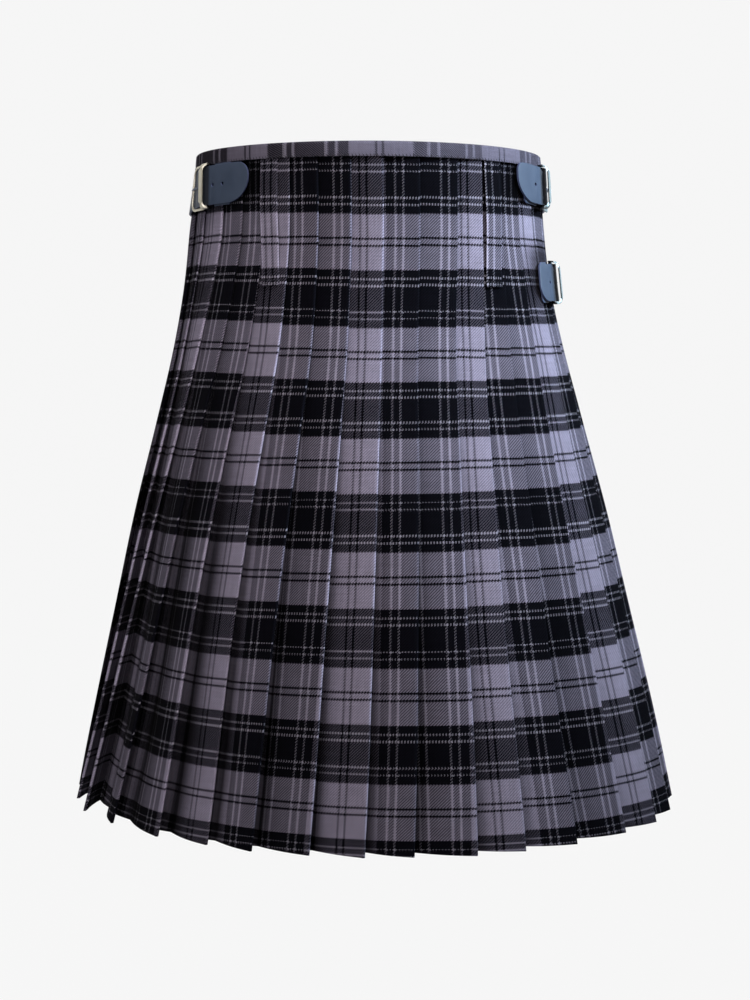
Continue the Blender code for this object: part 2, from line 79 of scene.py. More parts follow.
# %% Lamps and the white room
# aim is the height on the kilt's upright axis that the lamp points at; spread is in degrees.
Lamp = namedtuple("Lamp", "name place aim size watts colour spread")
LAMPS = [
    Lamp("key_lamp", (2.0, -0.6, 0.8), 0.14, 0.5, 12.4, (0.67, 0.83, 1.0), 52),
    Lamp("top_lamp", (0.15, -1.2, 1.15), 0.0, 0.7, 8.3, (1.0, 0.955, 0.96), 110),
    Lamp("fill_lamp", (-1.2, -2.2, 0.15), -0.30, 1.0, 4.2, (1.0, 0.955, 1.0), 80),
    Lamp("front_lamp", (0.3, 2.4, 1.4), 0.0, 1.8, 26, (1.0, 0.98, 0.96), 180),
]
for lamp in LAMPS:
    bpy.ops.object.light_add(type="AREA", location=lamp.place)
    light = bpy.context.object
    light.name = lamp.name
    light.data.size = lamp.size
    light.data.energy = lamp.watts
    light.data.color = lamp.colour
    light.data.spread = math.radians(lamp.spread)
    towards = np.array((0, 0, lamp.aim)) - np.array(lamp.place)
    flat = math.hypot(towards[0], towards[1])
    light.rotation_euler = (math.atan2(flat, -towards[2]), 0,
                            math.atan2(towards[1], towards[0]) - math.pi / 2)
ROOM_COLOUR, ROOM_LIGHT = (0.93, 0.935, 0.95, 1), 0.13
room = bpy.data.worlds.new("white_room")
room.use_nodes = True
backdrop = room.node_tree.nodes["Background"].inputs
backdrop["Color"].default_value, backdrop["Strength"].default_value = ROOM_COLOUR, ROOM_LIGHT
bpy.context.scene.world = room
print(len(LAMPS), "lamps and a white room")

# %% [markdown]
# ## The envelope of the kilt
#
# All the cloth lies on one smooth surface, and it helps to measure on it as a kilt maker does:
# *around* from the centre back towards the wearer's right, *out* from the surface, and *down*
# from the sloping top edge. The table gives level sections of that surface. Each is two half
# ellipses, with a deeper one behind, and a smooth curve runs through every column. Placing all
# pieces by these three measures keeps them on each other, whatever the shape is.

# %% Sections through the envelope
CLOTH = 1.2 * MM            # thickness of the twill
LAYER = CLOTH + 0.5 * MM    # from one folded layer to the next
SEAM = 0.3 * MM             # between two pieces that meet
LENGTH = 600 * MM           # top edge to hem at the centre back, measured upright
TOP_BACK = 13 * MM          # the back of the waist stands this far above the origin
TOP_FALL = 0.11             # fall of the top edge per metre from back to front
HEM_TILT = 0.013            # the hem hangs lower on the wearer's right, per metre across
HEM_SAG = 3.5 * MM          # and lower still at both sides
SAG_FULL_AT = 1.3           # radians round from the centre back

# below the back's top, in mm. step: how far a folded edge stands out over the next pleat,
# underlay: how far the cloth is folded back under it, sway: sideways shift of the section.
Section = namedtuple("Section", "below half_width back_depth front_depth step underlay sway")
SECTIONS = [
    Section(0, 156.0, 124, 108, 3.8, 15, 0.0),
    Section(45, 159.0, 124.5, 111, 3.8, 16, 0.5),
    Section(90, 163.0, 125.5, 115, 4.0, 17, 1.0),
    Section(135, 169.0, 131, 120, 4.3, 19, 2.0),
    Section(180, 178.0, 143, 126, 4.8, 22, 3.0),
    Section(250, 195.5, 170, 137, 7.8, 26, 4.0),
    Section(335, 218.0, 198, 149, 11.0, 30, 5.0),
    Section(425, 239.0, 218, 159, 13.5, 33, 6.0),
    Section(512, 259.5, 230, 166, 15.5, 36, 7.0),
    Section(600, 280.0, 235, 172, 16.5, 38, 7.0),
]


def column(name, below):
    """A column of SECTIONS at any distances below the top, on a smooth curve, in metres."""
    knots = np.array([row.below for row in SECTIONS]) * MM
    values = np.array([getattr(row, name) for row in SECTIONS]) * MM
    slopes = np.gradient(values, knots)
    below = np.clip(below, knots[0], knots[-1])
    i = np.clip(np.searchsorted(knots, below, side="right") - 1, 0, len(knots) - 2)
    width = knots[i + 1] - knots[i]
    t = (below - knots[i]) / width
    return (values[i] * (1 + 2 * t) * (1 - t) ** 2 + slopes[i] * width * t * (1 - t) ** 2
            + values[i + 1] * t * t * (3 - 2 * t) + slopes[i + 1] * width * t * t * (t - 1))


def depth_at(turn, below):
    """How deep the section is on the side, behind or in front, that an angle lies on."""
    return np.where(np.abs(turn) <= math.pi / 2,
                    column("back_depth", below), column("front_depth", below))


print("waist %.0f mm wide, hem %.0f mm wide" % (2 * column("half_width", 0) / MM,
                                              2 * column("half_width", LENGTH) / MM))

# %% Measuring along the sections
RING_LEVELS = np.linspace(0, LENGTH, 121)
TURNS = np.linspace(-math.pi, math.pi, 1441)
SHARES = np.linspace(-1, 1, 1441)


def measure_rings():
    """For each level, half the way round, and the angle at each share of the way."""
    halves, angles = [], []
    for below in RING_LEVELS:
        x = column("half_width", below) * np.sin(TURNS)
        y = -depth_at(TURNS, below) * np.cos(TURNS)
        run = np.concatenate([[0], np.cumsum(np.hypot(np.diff(x), np.diff(y)))])
        halves.append(run[-1] / 2)
        angles.append(np.interp(SHARES, run / halves[-1] - 1, TURNS))
    return np.array(halves), np.array(angles)


HALF_ROUNDS, TURN_AT = measure_rings()


def half_round(below):
    return np.interp(below, RING_LEVELS, HALF_ROUNDS)


def turn_at(around, below):
    """The angle round the section at a place on it, for arrays of places."""
    share = (around / half_round(below) + 1) % 2
    level = np.clip(below / LENGTH, 0, 1) * (len(RING_LEVELS) - 1)
    spot = share / 2 * (len(SHARES) - 1)
    low = np.minimum(level.astype(int), len(RING_LEVELS) - 2)
    left = np.minimum(spot.astype(int), len(SHARES) - 2)
    up, side = level - low, spot - left
    return ((TURN_AT[low, left] * (1 - side) + TURN_AT[low, left + 1] * side) * (1 - up)
            + (TURN_AT[low + 1, left] * (1 - side) + TURN_AT[low + 1, left + 1] * side) * up)


print("%.0f mm round the waist, %.0f mm round the hem" % (2 * HALF_ROUNDS[0] / MM,
                                                        2 * HALF_ROUNDS[-1] / MM))

# %% [markdown]
# ## Soft folds in the cloth
#
# Worn cloth is never a perfect cone. It sinks a little under a tight strap, swells over the
# hips, and falls in shallow troughs and ridges towards the hem. These are placed in a short
# table, unevenly, and they move the whole envelope. So every layer and every strap moves
# with them, and nothing cuts through anything else.

# %% Troughs and ridges
# side is the share of the half way round, from the centre back at 0 to the centre front at 1,
# at the fold's upper and lower end. depth is negative for a trough.
Fold = namedtuple("Fold", "upper_side lower_side top bottom width depth")
FOLDS = [
    Fold(-0.50, -0.50, -60, 90, 45, -4.5),
    Fold(-0.50, -0.44, 30, 170, 26, -0.4),
    Fold(-0.36, -0.40, 70, 260, 24, 1.3),
    Fold(-0.30, -0.33, 260, 660, 30, -2.2),
    Fold(-0.17, -0.15, 330, 700, 26, 1.8),
    Fold(-0.04, -0.02, 180, 560, 34, -1.6),
    Fold(0.09, 0.12, 300, 720, 30, 2.0),
    Fold(0.20, 0.22, 90, 330, 22, -1.4),
    Fold(0.24, 0.27, 340, 700, 28, -2.4),
    Fold(0.36, 0.38, 260, 690, 30, 2.2),
    Fold(0.47, 0.45, 60, 240, 22, -1.8),
    Fold(-0.58, -0.56, 230, 780, 55, -2.6),
    Fold(-0.71, -0.67, 150, 660, 30, -3.4),
    Fold(-0.82, -0.80, 260, 720, 32, 3.2),
    Fold(-0.93, -0.95, 120, 560, 36, -2.6),
    Fold(0.97, 0.96, 300, 720, 34, 3.4),
    Fold(0.86, 0.84, 200, 700, 32, -3.6),
    Fold(0.75, 0.72, 280, 720, 30, 3.2),
    Fold(0.64, 0.60, 150, 520, 28, -2.8),
]


def give(around, below):
    """How far the folds move the envelope out, for arrays of places."""
    moved = np.zeros(np.shape(around))
    half = half_round(below)
    for fold in FOLDS:
        along = np.clip((below / MM - fold.top) / (fold.bottom - fold.top), 0, 1)
        side = fold.upper_side + (fold.lower_side - fold.upper_side) * along
        away = (around / half - side + 1) % 2 - 1
        moved += (fold.depth * MM * np.sin(math.pi * along) ** 2
                  * np.exp(-(away * half / (fold.width * MM)) ** 2))
    return moved


def at_level(around, out, below):
    """Points in space for arrays of around, out and the distance below the back's top."""
    around, out, below = np.broadcast_arrays(around, out, below)
    turn = turn_at(around, below)
    width, depth = column("half_width", below), depth_at(turn, below)
    across, towards = depth * np.sin(turn), -width * np.cos(turn)
    moved = (out + give(around, below)) / np.hypot(across, towards)
    x, y = width * np.sin(turn) + across * moved, -depth * np.cos(turn) + towards * moved
    sag = HEM_SAG * np.abs(turn / SAG_FULL_AT).clip(0, 1) ** 3 * (below / LENGTH) ** 6
    z = TOP_BACK - below - HEM_TILT * x * below / LENGTH - sag
    return np.stack([x + column("sway", below), y, z], axis=-1)


def top_edge(around):
    """How far the sloping top edge lies below the back's top."""
    turn = turn_at(around, np.zeros(np.shape(around)))
    return TOP_FALL * (column("back_depth", 0) - depth_at(turn, 0) * np.cos(turn))


def on_kilt(around, out, down):
    around = np.asarray(around, float)
    return at_level(around, out, top_edge(around) + down)


print(len(FOLDS), "soft folds, up to %.1f mm deep" % max(abs(fold.depth) for fold in FOLDS))

# %% [markdown]
# ## The tartan
#
# A tartan is a list of coloured threads, and the same list runs in the warp and in the weft.
# This one has a lavender band with a pair of fine black lines, and a black band with two pairs
# of fine pale lines. The list goes into a colour ramp with hard steps, which is read twice,
# once across the cloth and once along it. Each mesh has a UV map in real metres, across and
# along the cloth, so the checks follow every fold and keep their size.
#
# Kilt cloth is a two-and-two twill: each thread goes over two and under two, one step further
# in every row. The shader finds the number of the warp and of the weft thread at a point, and
# their sum says which of the two lies on top. That gives the diagonal line of the twill, the
# half tone where a light and a dark band cross, and a rounded thread for the bump. Each fine
# pale line of the weft is two threads laid in together, so it reads as one row of dashes, and
# the threads that pass over it push it a little up and down, like the edge of every band.

# %% The list of threads
REPEAT = 98 * MM            # one repeat of the tartan, both ways
THREAD = 0.65 * MM
FIRST_LIGHT = 83.6 * MM     # from the top edge to the middle of the first light band
Stripe = namedtuple("Stripe", "colour width")
WARP = [Stripe("light", 2.25), Stripe("black", 2.5), Stripe("light", 23),
        Stripe("black", 8.2), Stripe("pale", 2.6), Stripe("black", 5.4), Stripe("pale", 2.6),
        Stripe("black", 20.4), Stripe("pale", 2.6), Stripe("black", 5.4), Stripe("pale", 2.6),
        Stripe("black", 8.2), Stripe("light", 23), Stripe("black", 2.5), Stripe("light", 2.25)]
WEFT = [Stripe("light", 2.25), Stripe("black", 2.5), Stripe("light", 23),
        Stripe("black", 8.45), Stripe("pale", 1.5), Stripe("black", 5.3), Stripe("pale", 1.5),
        Stripe("black", 24.9), Stripe("pale", 1.5), Stripe("black", 5.3), Stripe("pale", 1.5),
        Stripe("black", 8.45), Stripe("light", 23), Stripe("black", 2.5), Stripe("light", 2.25)]
YARN = {"light": (0.261, 0.235, 0.301), "black": (0.0066, 0.0066, 0.0098),
        "pale": (0.365, 0.342, 0.405)}
print("the warp's stripes add up to", sum(stripe.width for stripe in WARP), "parts of",
      REPEAT / MM, "mm")


# %% A small helper for shader nodes
class Shader:
    """Adds nodes to a material, and joins numbers or sockets to their inputs."""

    def __init__(self, name):
        self.material = bpy.data.materials.new(name)
        self.material.use_nodes = True
        self.nodes = self.material.node_tree.nodes
        self.links = self.material.node_tree.links
        self.surface = self.nodes["Principled BSDF"]

    def add(self, kind, inputs=None, output=0, **settings):
        node = self.nodes.new(kind)
        for key, value in settings.items():
            setattr(node, key, value)
        for key, value in (inputs or {}).items():
            self.join(value, node.inputs[key])
        return node.outputs[output]

    def join(self, value, socket):
        if isinstance(value, bpy.types.NodeSocket):
            self.links.new(value, socket)
        else:
            socket.default_value = value

    def math(self, operation, a, b=0.0, c=0.0):
        return self.add("ShaderNodeMath", {0: a, 1: b, 2: c}, operation=operation)

    def line(self, value, slope, start):
        """value times slope, plus start."""
        return self.math("MULTIPLY_ADD", value, slope, start)

    def times(self, product, *others):
        for other in others:
            product = self.math("MULTIPLY", product, other)
        return product

    def spread(self, value, start, end, low, high):
        """low where value is at start, high where it is at end, and evenly between."""
        return self.add("ShaderNodeMapRange", {0: value, 1: start, 2: end, 3: low, 4: high})

    def mix(self, share, a, b):
        return self.add("ShaderNodeMix", {0: share, 6: a, 7: b}, output=2, data_type="RGBA")

    def choose(self, share, a, b):
        return self.add("ShaderNodeMix", {0: share, 2: a, 3: b}, data_type="FLOAT")

    def noise(self, place, scale, detail, distortion=0.0):
        return self.add("ShaderNodeTexNoise", {"Vector": place, "Scale": scale, "Detail": detail,
                                               "Distortion": distortion})

    def stretched_noise(self, place, stretch, detail):
        """Noise with its own scale along each axis, for threads and brushed metal."""
        drawn = self.add("ShaderNodeMapping", {"Vector": place, "Scale": stretch})
        return self.noise(drawn, 1.0, detail)

    def scaled(self, vector, size):
        return self.add("ShaderNodeVectorMath", {0: vector, "Scale": size}, operation="SCALE")

    def green(self, colour):
        """The middle one of three values: the green of a colour, or the y of a place."""
        return self.add("ShaderNodeSeparateXYZ", {0: colour}, output=1)

    def marked(self, name):
        """The number that mark_points kept on the mesh under this name."""
        return self.add("ShaderNodeAttribute", attribute_name=name, output=2)

    def bump(self, height, strength, distance):
        """A bump of a height in mm."""
        return self.add("ShaderNodeBump", {"Height": height, "Strength": strength,
                                           "Distance": distance * MM})

    def finish(self, **inputs):
        for key, value in inputs.items():
            self.join(value, self.surface.inputs[key.replace("_", " ")])
        return self.material


def sett_colour(shader, stripes, distance):
    """The colour of the thread at a distance across the threads, from a light band's middle."""
    share = shader.math("FRACT", shader.math("DIVIDE", distance, REPEAT))
    colour = shader.add("ShaderNodeValToRGB", {0: share})
    ramp = colour.node.color_ramp
    ramp.interpolation = "CONSTANT"
    total, at = sum(stripe.width for stripe in stripes), 0.0
    for i, stripe in enumerate(stripes):
        point = ramp.elements[0] if i == 0 else ramp.elements.new(at / total)
        point.position = at / total
        point.color = (*YARN[stripe.colour], 1)
        at += stripe.width
    ramp.elements.remove(ramp.elements[len(ramp.elements) - 1])
    return colour


# %% The twill
WARP_FILLS = 0.36           # a warp thread is thinner than its place: the weft covers more
DEEP = 0.35                 # how light the weft looks deep down between two warp threads
DARKENED = 0.55             # how light a thread looks with only black ones under it
PUSHED = 0.42 * MM          # how far a band's edge moves where the warp passes over
PALE_SEEN = 0.3             # a weft thread whose green is above this is a pale one
PALE_WEFT = 0.70            # the pale weft threads are thinner than the pale warp threads
DASH = 2.1                  # threads of the four that a dash of the pale weft runs over
BETWEEN_DASHES = 0.50       # how light the warp looks where it dips between two pale dashes
PAINTED_LIGHT_STRENGTH = 0.9         # how strongly painted light changes the colour: painted highlight on folds, painted shade in hidden places
STRIP_THREAD = 0.75         # the strip is eased in, so its threads lie closer
STRIP_SHADE = (0.45, 0.61)  # painted shade on the strip, most at the wearer's left
STRIP_SHADED = (-0.15, -0.05)   # where that shade fades, across the strip, in metres
STRIP_FIRM = (-0.09, 0.05)      # and where its warp grows looser
STRIP_TONE = 0.80           # the waistband's strip is a little darker


def twill(name, repeat=REPEAT, strip=False):
    """The woven finish. It reads the UV map, in metres across and along the cloth."""
    shader = Shader(name)
    place = shader.add("ShaderNodeUVMap", uv_map="cloth")
    split = shader.add("ShaderNodeSeparateXYZ", {0: place}).node
    across, along = split.outputs[0], split.outputs[1]
    thread = THREAD * (STRIP_THREAD if strip else 1)
    warp_place = shader.math("DIVIDE", across, thread)
    weft_place = shader.math("DIVIDE", along, thread)
    step = shader.math("ADD", shader.math("FLOOR", warp_place), shader.math("FLOOR", weft_place))
    over_two = shader.math("LESS_THAN", shader.math("FLOORED_MODULO", step, 4.0), 1.5)
    push = shader.line(over_two, 2 * PUSHED, -PUSHED)
    warp = sett_colour(shader, WARP, shader.line(across, REPEAT / repeat, push))
    if strip:               # one light weft, painted shade and a firmer warp towards the wearer's left
        dusk = shader.spread(across, *STRIP_SHADED, *STRIP_SHADE)
        firm = shader.spread(across, *STRIP_FIRM, 1.0, 0.0)
        weft = (*[value * STRIP_TONE for value in YARN["light"]], 1)
        warp_fills = shader.line(firm, 0.45, 0.45)
        darkened = shader.line(firm, -0.35, 0.70)
    else:
        distance = shader.math("SUBTRACT", along, FIRST_LIGHT)
        weft = sett_colour(shader, WEFT, shader.math("ADD", distance, push))
        pale = shader.math("GREATER_THAN", shader.green(weft), PALE_SEEN)
        row = shader.math("FLOOR", shader.math("DIVIDE", distance, REPEAT / 8))
        together = shader.math("FLOORED_MODULO", shader.math("ADD", warp_place, row), 4.0)
        dash_ends = shader.math("LESS_THAN", together, DASH)
        over_two = shader.choose(pale, over_two, dash_ends)
        warp_fills = shader.line(pale, 1.0, WARP_FILLS)
        weft = shader.scaled(weft, shader.line(pale, PALE_WEFT - 1, 1.0))
        darkened = DARKENED

    def roundness(at):
        side = shader.line(shader.math("FRACT", at), 2.0, -1.0)
        return shader.math("SUBTRACT", 1.0, shader.times(side, side))

    full = shader.math("LESS_THAN", shader.math("FRACT", warp_place), warp_fills)
    warp_on_top = shader.times(over_two, full)
    gap = shader.math("SUBTRACT", over_two, warp_on_top)
    if not strip:
        dusk = shader.line(shader.times(pale, warp_on_top), BETWEEN_DASHES - 1, 1.0)
    colour = shader.mix(warp_on_top, weft, warp)
    under = shader.mix(warp_on_top, warp, weft)
    lit_below = shader.spread(shader.green(under), 0.0, YARN["light"][1], darkened, 1.0)

    height = shader.choose(warp_on_top, roundness(weft_place), roundness(warp_place))
    fibres = shader.noise(place, 1500.0, 2.0)
    patches = shader.noise(place, 28.0, 3.0)
    thick_warp = shader.stretched_noise(place, (620, 42, 1), 2.0)   # thick and thin places
    thick_weft = shader.stretched_noise(place, (42, 620, 1), 2.0)   # along the threads
    # painted light: a painted highlight on the sharp folds, painted shade under the folds and
    # round the straps
    pressed = shader.line(shader.marked("pressed"), PAINTED_LIGHT_STRENGTH, 1.0)
    shade = shader.times(shader.line(height, 0.24, 0.82), shader.line(fibres, 0.5, 0.75),
                         shader.line(patches, 0.24, 0.88), shader.line(thick_warp, 0.5, 0.75),
                         shader.line(thick_weft, 0.5, 0.75), shader.line(gap, DEEP - 1, 1.0),
                         dusk, lit_below, pressed)
    bump = shader.bump(shader.line(fibres, 0.5, height), 0.6, 0.10)
    return shader.finish(Base_Color=shader.scaled(colour, shade), Normal=bump, Roughness=0.94,
                         Sheen_Weight=0.01, Sheen_Roughness=0.5, Specular_IOR_Level=0.0)


TARTAN = twill("tartan_twill")
print("made", TARTAN.name)

# %% [markdown]
# ## Small tools
#
# Most operators act on what is selected, so each tool selects one piece before it starts, and
# then only the points or edges that it needs. A number kept on every point of a mesh, such as
# painted light and shade, or how sharply it was cut, is a simple way to tell a finish where to
# change.

# %% Small tools for every piece
def select_only(piece):
    for other in bpy.context.selected_objects:
        other.select_set(False)
    piece.select_set(True)
    bpy.context.view_layer.objects.active = piece


def work_on(piece, kind, chosen, operator, **settings):
    """Selects the points or edges that are chosen, and runs one edit-mode operator on them."""
    select_only(piece)
    bpy.ops.object.mode_set(mode="EDIT")
    bpy.ops.mesh.select_mode(type=kind)
    bpy.ops.mesh.select_all(action="DESELECT")
    bpy.ops.object.mode_set(mode="OBJECT")
    for part in piece.data.vertices if kind == "VERT" else piece.data.edges:
        part.select = bool(chosen(part))
    bpy.ops.object.mode_set(mode="EDIT")
    operator(**settings)
    bpy.ops.object.mode_set(mode="OBJECT")


def face_outwards(piece):
    select_only(piece)
    bpy.ops.object.mode_set(mode="EDIT")
    bpy.ops.mesh.select_all(action="SELECT")
    bpy.ops.mesh.normals_make_consistent(inside=False)
    bpy.ops.object.mode_set(mode="OBJECT")


def apply_modifier(piece, kind, **settings):
    select_only(piece)
    modifier = piece.modifiers.new(kind, kind)
    for key, value in settings.items():
        setattr(modifier, key, value)
    bpy.ops.object.modifier_apply(modifier=modifier.name)


def mark_points(mesh, name, values):
    """Keeps a number on every point, for a finish to read."""
    mesh.attributes.new(name, "FLOAT", "POINT").data.foreach_set("value", values)


def own_piece(piece, slot, *nodes):
    """The piece rides with the kilt and stands for plain solids; the slot argument is not used."""
    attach(piece, "root")
    if nodes:
        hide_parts(*nodes)
    return piece


print("every piece rides on the one body, the root")

# %% [markdown]
# ## Sheets of cloth
#
# Every cloth piece is a closed thin wall: two grids of points, one for each face, joined round
# the rim. The grids come from the middle of the cloth, moved half its thickness to each side,
# and the UV map comes from the cloth's own measures. A value on every point holds painted
# light. Above zero it is a painted highlight on the sharp folds and the belt loops' edges.
# Below zero it is painted shade under a fold and painted shadow round a strap, where little
# light comes in.

# %% A closed sheet from two grids
CRISP = math.radians(50)    # edges sharper than this aren't shaded smooth


def sheet_of_cloth(name, outer, inner, across, along, finish, pressed=None):
    """outer and inner are grids of points, across and along the cloth's own measures there."""
    rows, columns = across.shape
    count = rows * columns
    index = np.arange(count).reshape(rows, columns)
    a, b, c, d = index[:-1, :-1], index[:-1, 1:], index[1:, 1:], index[1:, :-1]
    face = np.stack([a, b, c, d], axis=-1).reshape(-1, 4)
    rim = np.concatenate([index[0, :], index[1:, -1], index[-1, -2::-1], index[-2:0:-1, 0]])
    following = np.roll(rim, -1)
    edge = np.stack([rim, rim + count, following + count, following], axis=-1)
    faces = np.concatenate([face, face[:, ::-1] + count, edge])

    mesh = bpy.data.meshes.new(name)
    points = np.concatenate([outer.reshape(-1, 3), inner.reshape(-1, 3)])
    mesh.from_pydata(points.tolist(), [], faces.tolist())
    shape = bmesh.new()
    shape.from_mesh(mesh)
    bmesh.ops.recalc_face_normals(shape, faces=shape.faces)
    shape.to_mesh(mesh)
    shape.free()

    corners = np.zeros(len(mesh.loops), int)
    mesh.loops.foreach_get("vertex_index", corners)
    measures = np.tile(np.stack([across.ravel(), along.ravel()], axis=-1), (2, 1))
    mesh.uv_layers.new(name="cloth").data.foreach_set("uv", measures[corners].ravel())
    # painted light on every point: a painted highlight above zero, painted shade below
    painted_light_values = np.zeros(count) if pressed is None else np.broadcast_to(pressed, (rows, columns))
    mark_points(mesh, "pressed", np.tile(np.ravel(painted_light_values), 2))

    piece = bpy.data.objects.new(name, mesh)
    bpy.context.scene.collection.objects.link(piece)
    mesh.materials.append(finish)
    select_only(piece)
    bpy.ops.object.shade_smooth_by_angle(angle=CRISP)
    print("%-24s %6d points, %.3f m2 on each face" % (name, len(points),
                                                    sum(p.area for p in mesh.polygons) / 2))
    return piece


def two_faces(around, out, thickness):
    """Moves a folded line, given row by row, half the thickness to each side."""
    step = np.diff(np.stack([around, out], axis=-1), axis=1)
    step /= np.linalg.norm(step, axis=-1, keepdims=True)
    normal = np.stack([-step[..., 1], step[..., 0]], axis=-1)
    before = np.concatenate([normal[:, :1], normal], axis=1)
    after = np.concatenate([normal, normal[:, -1:]], axis=1)
    mitre = before + after
    mitre /= np.sum(mitre * after, axis=-1, keepdims=True)
    move = mitre * thickness / 2
    return (around + move[..., 0], out + move[..., 1]), (around - move[..., 0], out - move[..., 1])


def length_along(points):
    """Distance down the cloth from its top edge, in every column of a grid of points."""
    runs = np.linalg.norm(np.diff(points, axis=0), axis=-1)
    return np.concatenate([np.zeros((1, points.shape[1])), np.cumsum(runs, axis=0)])


print("cloth is", CLOTH / MM, "mm thick")

# %% [markdown]
# ## The pleats
#
# Each pleat is a flat face that ends in a sharp fold towards the wearer's right. There the
# cloth turns under, runs back, turns again, and comes out as the next pleat's face. The kilt
# maker sets the folds on chosen threads, so that one pleat shows a light band and the next two
# show black ones, over and over. Below the stitched part, the fell, the folds stand free.
#
# The whole back is one sheet, drawn as a folded line at every level. Its places come from a
# table of fold edges. "thread" says which thread lies on the fold, as its distance from the
# middle of a light band, in the fell and at the hem: the folds aren't quite on the thread.

# %% The table of pleats
# waist, fell and hem: mm around from the centre back. bow: how far the fold hangs aside, to
# the wearer's left, between the fell and the hem. flick: how far the free fold stands out of
# line at the hem. open: how far the pleat gapes there. slips: how far the checks lie below
# their place at the waist, the fell and the hem. All in mm.
Pleat = namedtuple("Pleat", "threads waist fell hem bow flick open slips")
LIGHT, DARK, DARKER = (17.1, 21.4), (53.0, 55.6), (73.6, 78.8)
PLEATS = [
    Pleat(DARK, -197, -227, -412, 0, 1.5, 9, (-7, -10, -10)),
    Pleat(DARKER, -170, -199, -361, 1, -1, 9, (-7.5, -10, -11.5)),
    Pleat(LIGHT, -140, -171, -313, 7, 2, 7, (-6, -9, -11.5)),
    Pleat(DARK, -116, -141, -260, 7, 0.5, 3, (-4.5, -7.5, -10)),
    Pleat(DARKER, -93, -111, -198, 7, 1.6, 1, (-3.5, -6.5, -9.5)),
    Pleat(LIGHT, -68, -80, -147, 6, -0.6, 0, (-1, -4, -7)),
    Pleat(DARK, -42, -50, -104, 4, 1.2, 0, (-1, -1.5, -5)),
    Pleat(DARKER, -13, -19, -54, 1, 0.2, 0, (0.5, 0, -2)),
    Pleat(LIGHT, 15, 11, -7, 0, 1.4, 0, (1.5, 2, 1)),
    Pleat(DARK, 47, 42, 35, -1, -0.8, 0, (1, 1.5, 3)),
    Pleat(DARKER, 82, 77, 89, 1, 1, 0, (0, 0.5, 4)),
    Pleat(LIGHT, 107, 106, 134, 4, 0.4, 0, (-1.5, -0.5, 1.5)),
    Pleat(DARK, 129, 133, 186, 2, 1.8, 0, (-4, -2.5, 0)),
    Pleat(DARKER, 151, 165, 248, 1, -0.5, 1, (-3, -3.5, -1.5)),
    Pleat(LIGHT, 174, 195, 299, 2, 1.2, 4, (-4, -5, -6)),
    Pleat(DARK, 197, 226, 350, 0, 0.6, 4, (-5, -5.5, -9)),
    Pleat(DARKER, 220, 257, 402, 0, 1.4, 3, (-5.5, -7.5, -10.5)),
]
CLOTH_PER_PLEAT = 131 * MM
WAIST, FELL_END, HEM = 84 * MM, 178 * MM, 588 * MM      # where the fold edges were measured
EASE = 26 * MM              # the folds swing out of the fell over this length
LONGEST_UNDERLAY = 0.78
Edge = namedtuple("Edge", "waist hem")
LEFT_SEAM_AHEAD = 9 * MM
RIGHT_SEAM_AHEAD = Edge(12 * MM, 30 * MM)
UNDER_OUT = -5.1 * MM       # outer face of the under-apron


def edge_line(pleat, below):
    hem_slope = (pleat.hem - pleat.fell) / (HEM - FELL_END) * MM
    upper = np.interp(below, [WAIST, FELL_END], [pleat.waist * MM, pleat.fell * MM])
    share = np.clip((below - FELL_END) / (HEM - FELL_END), 0, 1)
    return (upper + hem_slope * np.maximum(below - FELL_END, 0)
            - pleat.bow * MM * np.sin(math.pi * share))


def pleat_edge(pleat, below):
    """Where a fold edge runs around the kilt, eased where it leaves the fell."""
    return (edge_line(pleat, below - EASE) + 2 * edge_line(pleat, below)
            + edge_line(pleat, below + EASE)) / 4


def edge_at(edge, below):
    return edge.waist + (edge.hem - edge.waist) * below / LENGTH


def left_seam(below):
    return pleat_edge(PLEATS[0], below) - column("underlay", below) - LEFT_SEAM_AHEAD


def right_seam(below):
    return pleat_edge(PLEATS[-1], below) + edge_at(RIGHT_SEAM_AHEAD, below)


def thread_at_fold(k, below):
    """The thread on fold k, counted right through the cloth from the first fold."""
    upper, lower = PLEATS[k].threads
    whole = round((k * CLOTH_PER_PLEAT - lower * MM) / REPEAT)
    return np.interp(below, [FELL_END, HEM], [upper * MM, lower * MM]) + whole * REPEAT


def slip_at(k, below):
    return np.interp(below, [WAIST, FELL_END, HEM], PLEATS[k].slips) * MM


print(len(PLEATS), "pleats, each of", CLOTH_PER_PLEAT / MM, "mm of cloth")

# %% The folded line
FACE_SHARES = (0, 0.12, 0.26, 0.40, 0.54, 0.68, 0.81, 0.92)
RUN_SHARES = (0.15, 0.38, 0.62, 0.85)
FOLD_ANGLES = (90, 50, 10, -30, -90)
FOLD_RADIUS = LAYER / 2
ROWS = 96
CROWN, FREE_CROWN = 0.004, 0.030    # how far a face swells, as a share of its width
# Painted shade on a face at each of its shares, where the fold before covers it.
FACE_SHADE = np.array((0.92, 0.52, 0.18, 0.04, 0, 0, 0, 0))
LEFT_FACE_SHADE = np.array((1, 0.95, 0.70, 0.38, 0.12, 0, 0, 0))    # left pleats, hanging free
LEFT_PLEATS = 6
SHADE_IN_FELL = 0.3         # the share of that shade where the pleats are stitched down
SHADE_OF_PLEAT = ((5, 9, 13, 16), (1, 0.9, 0.75, 0.35))     # less from the left to the right
FACE_DIM = {0: 0.95, 1: 0.80, 2: 0.62, 7: 0.14, 13: 0.20}   # whole pleats in others' shade
TURN_DIM = 0.3              # the share of it on a pleat's fold, but the first is wholly dark


def freedom(below):
    """0 where the pleats are stitched down, 1 where they hang free."""
    t = np.clip((below - FELL_END + EASE) / (HEM - FELL_END), 0, 1)
    return t * t * (3 - 2 * t)


def levels_from(around_at_waist):
    """Levels from the top edge to the hem, in columns that start at these places."""
    start = top_edge(np.atleast_1d(around_at_waist))
    return start + (LENGTH - start) * np.linspace(0, 1, ROWS)[:, None]


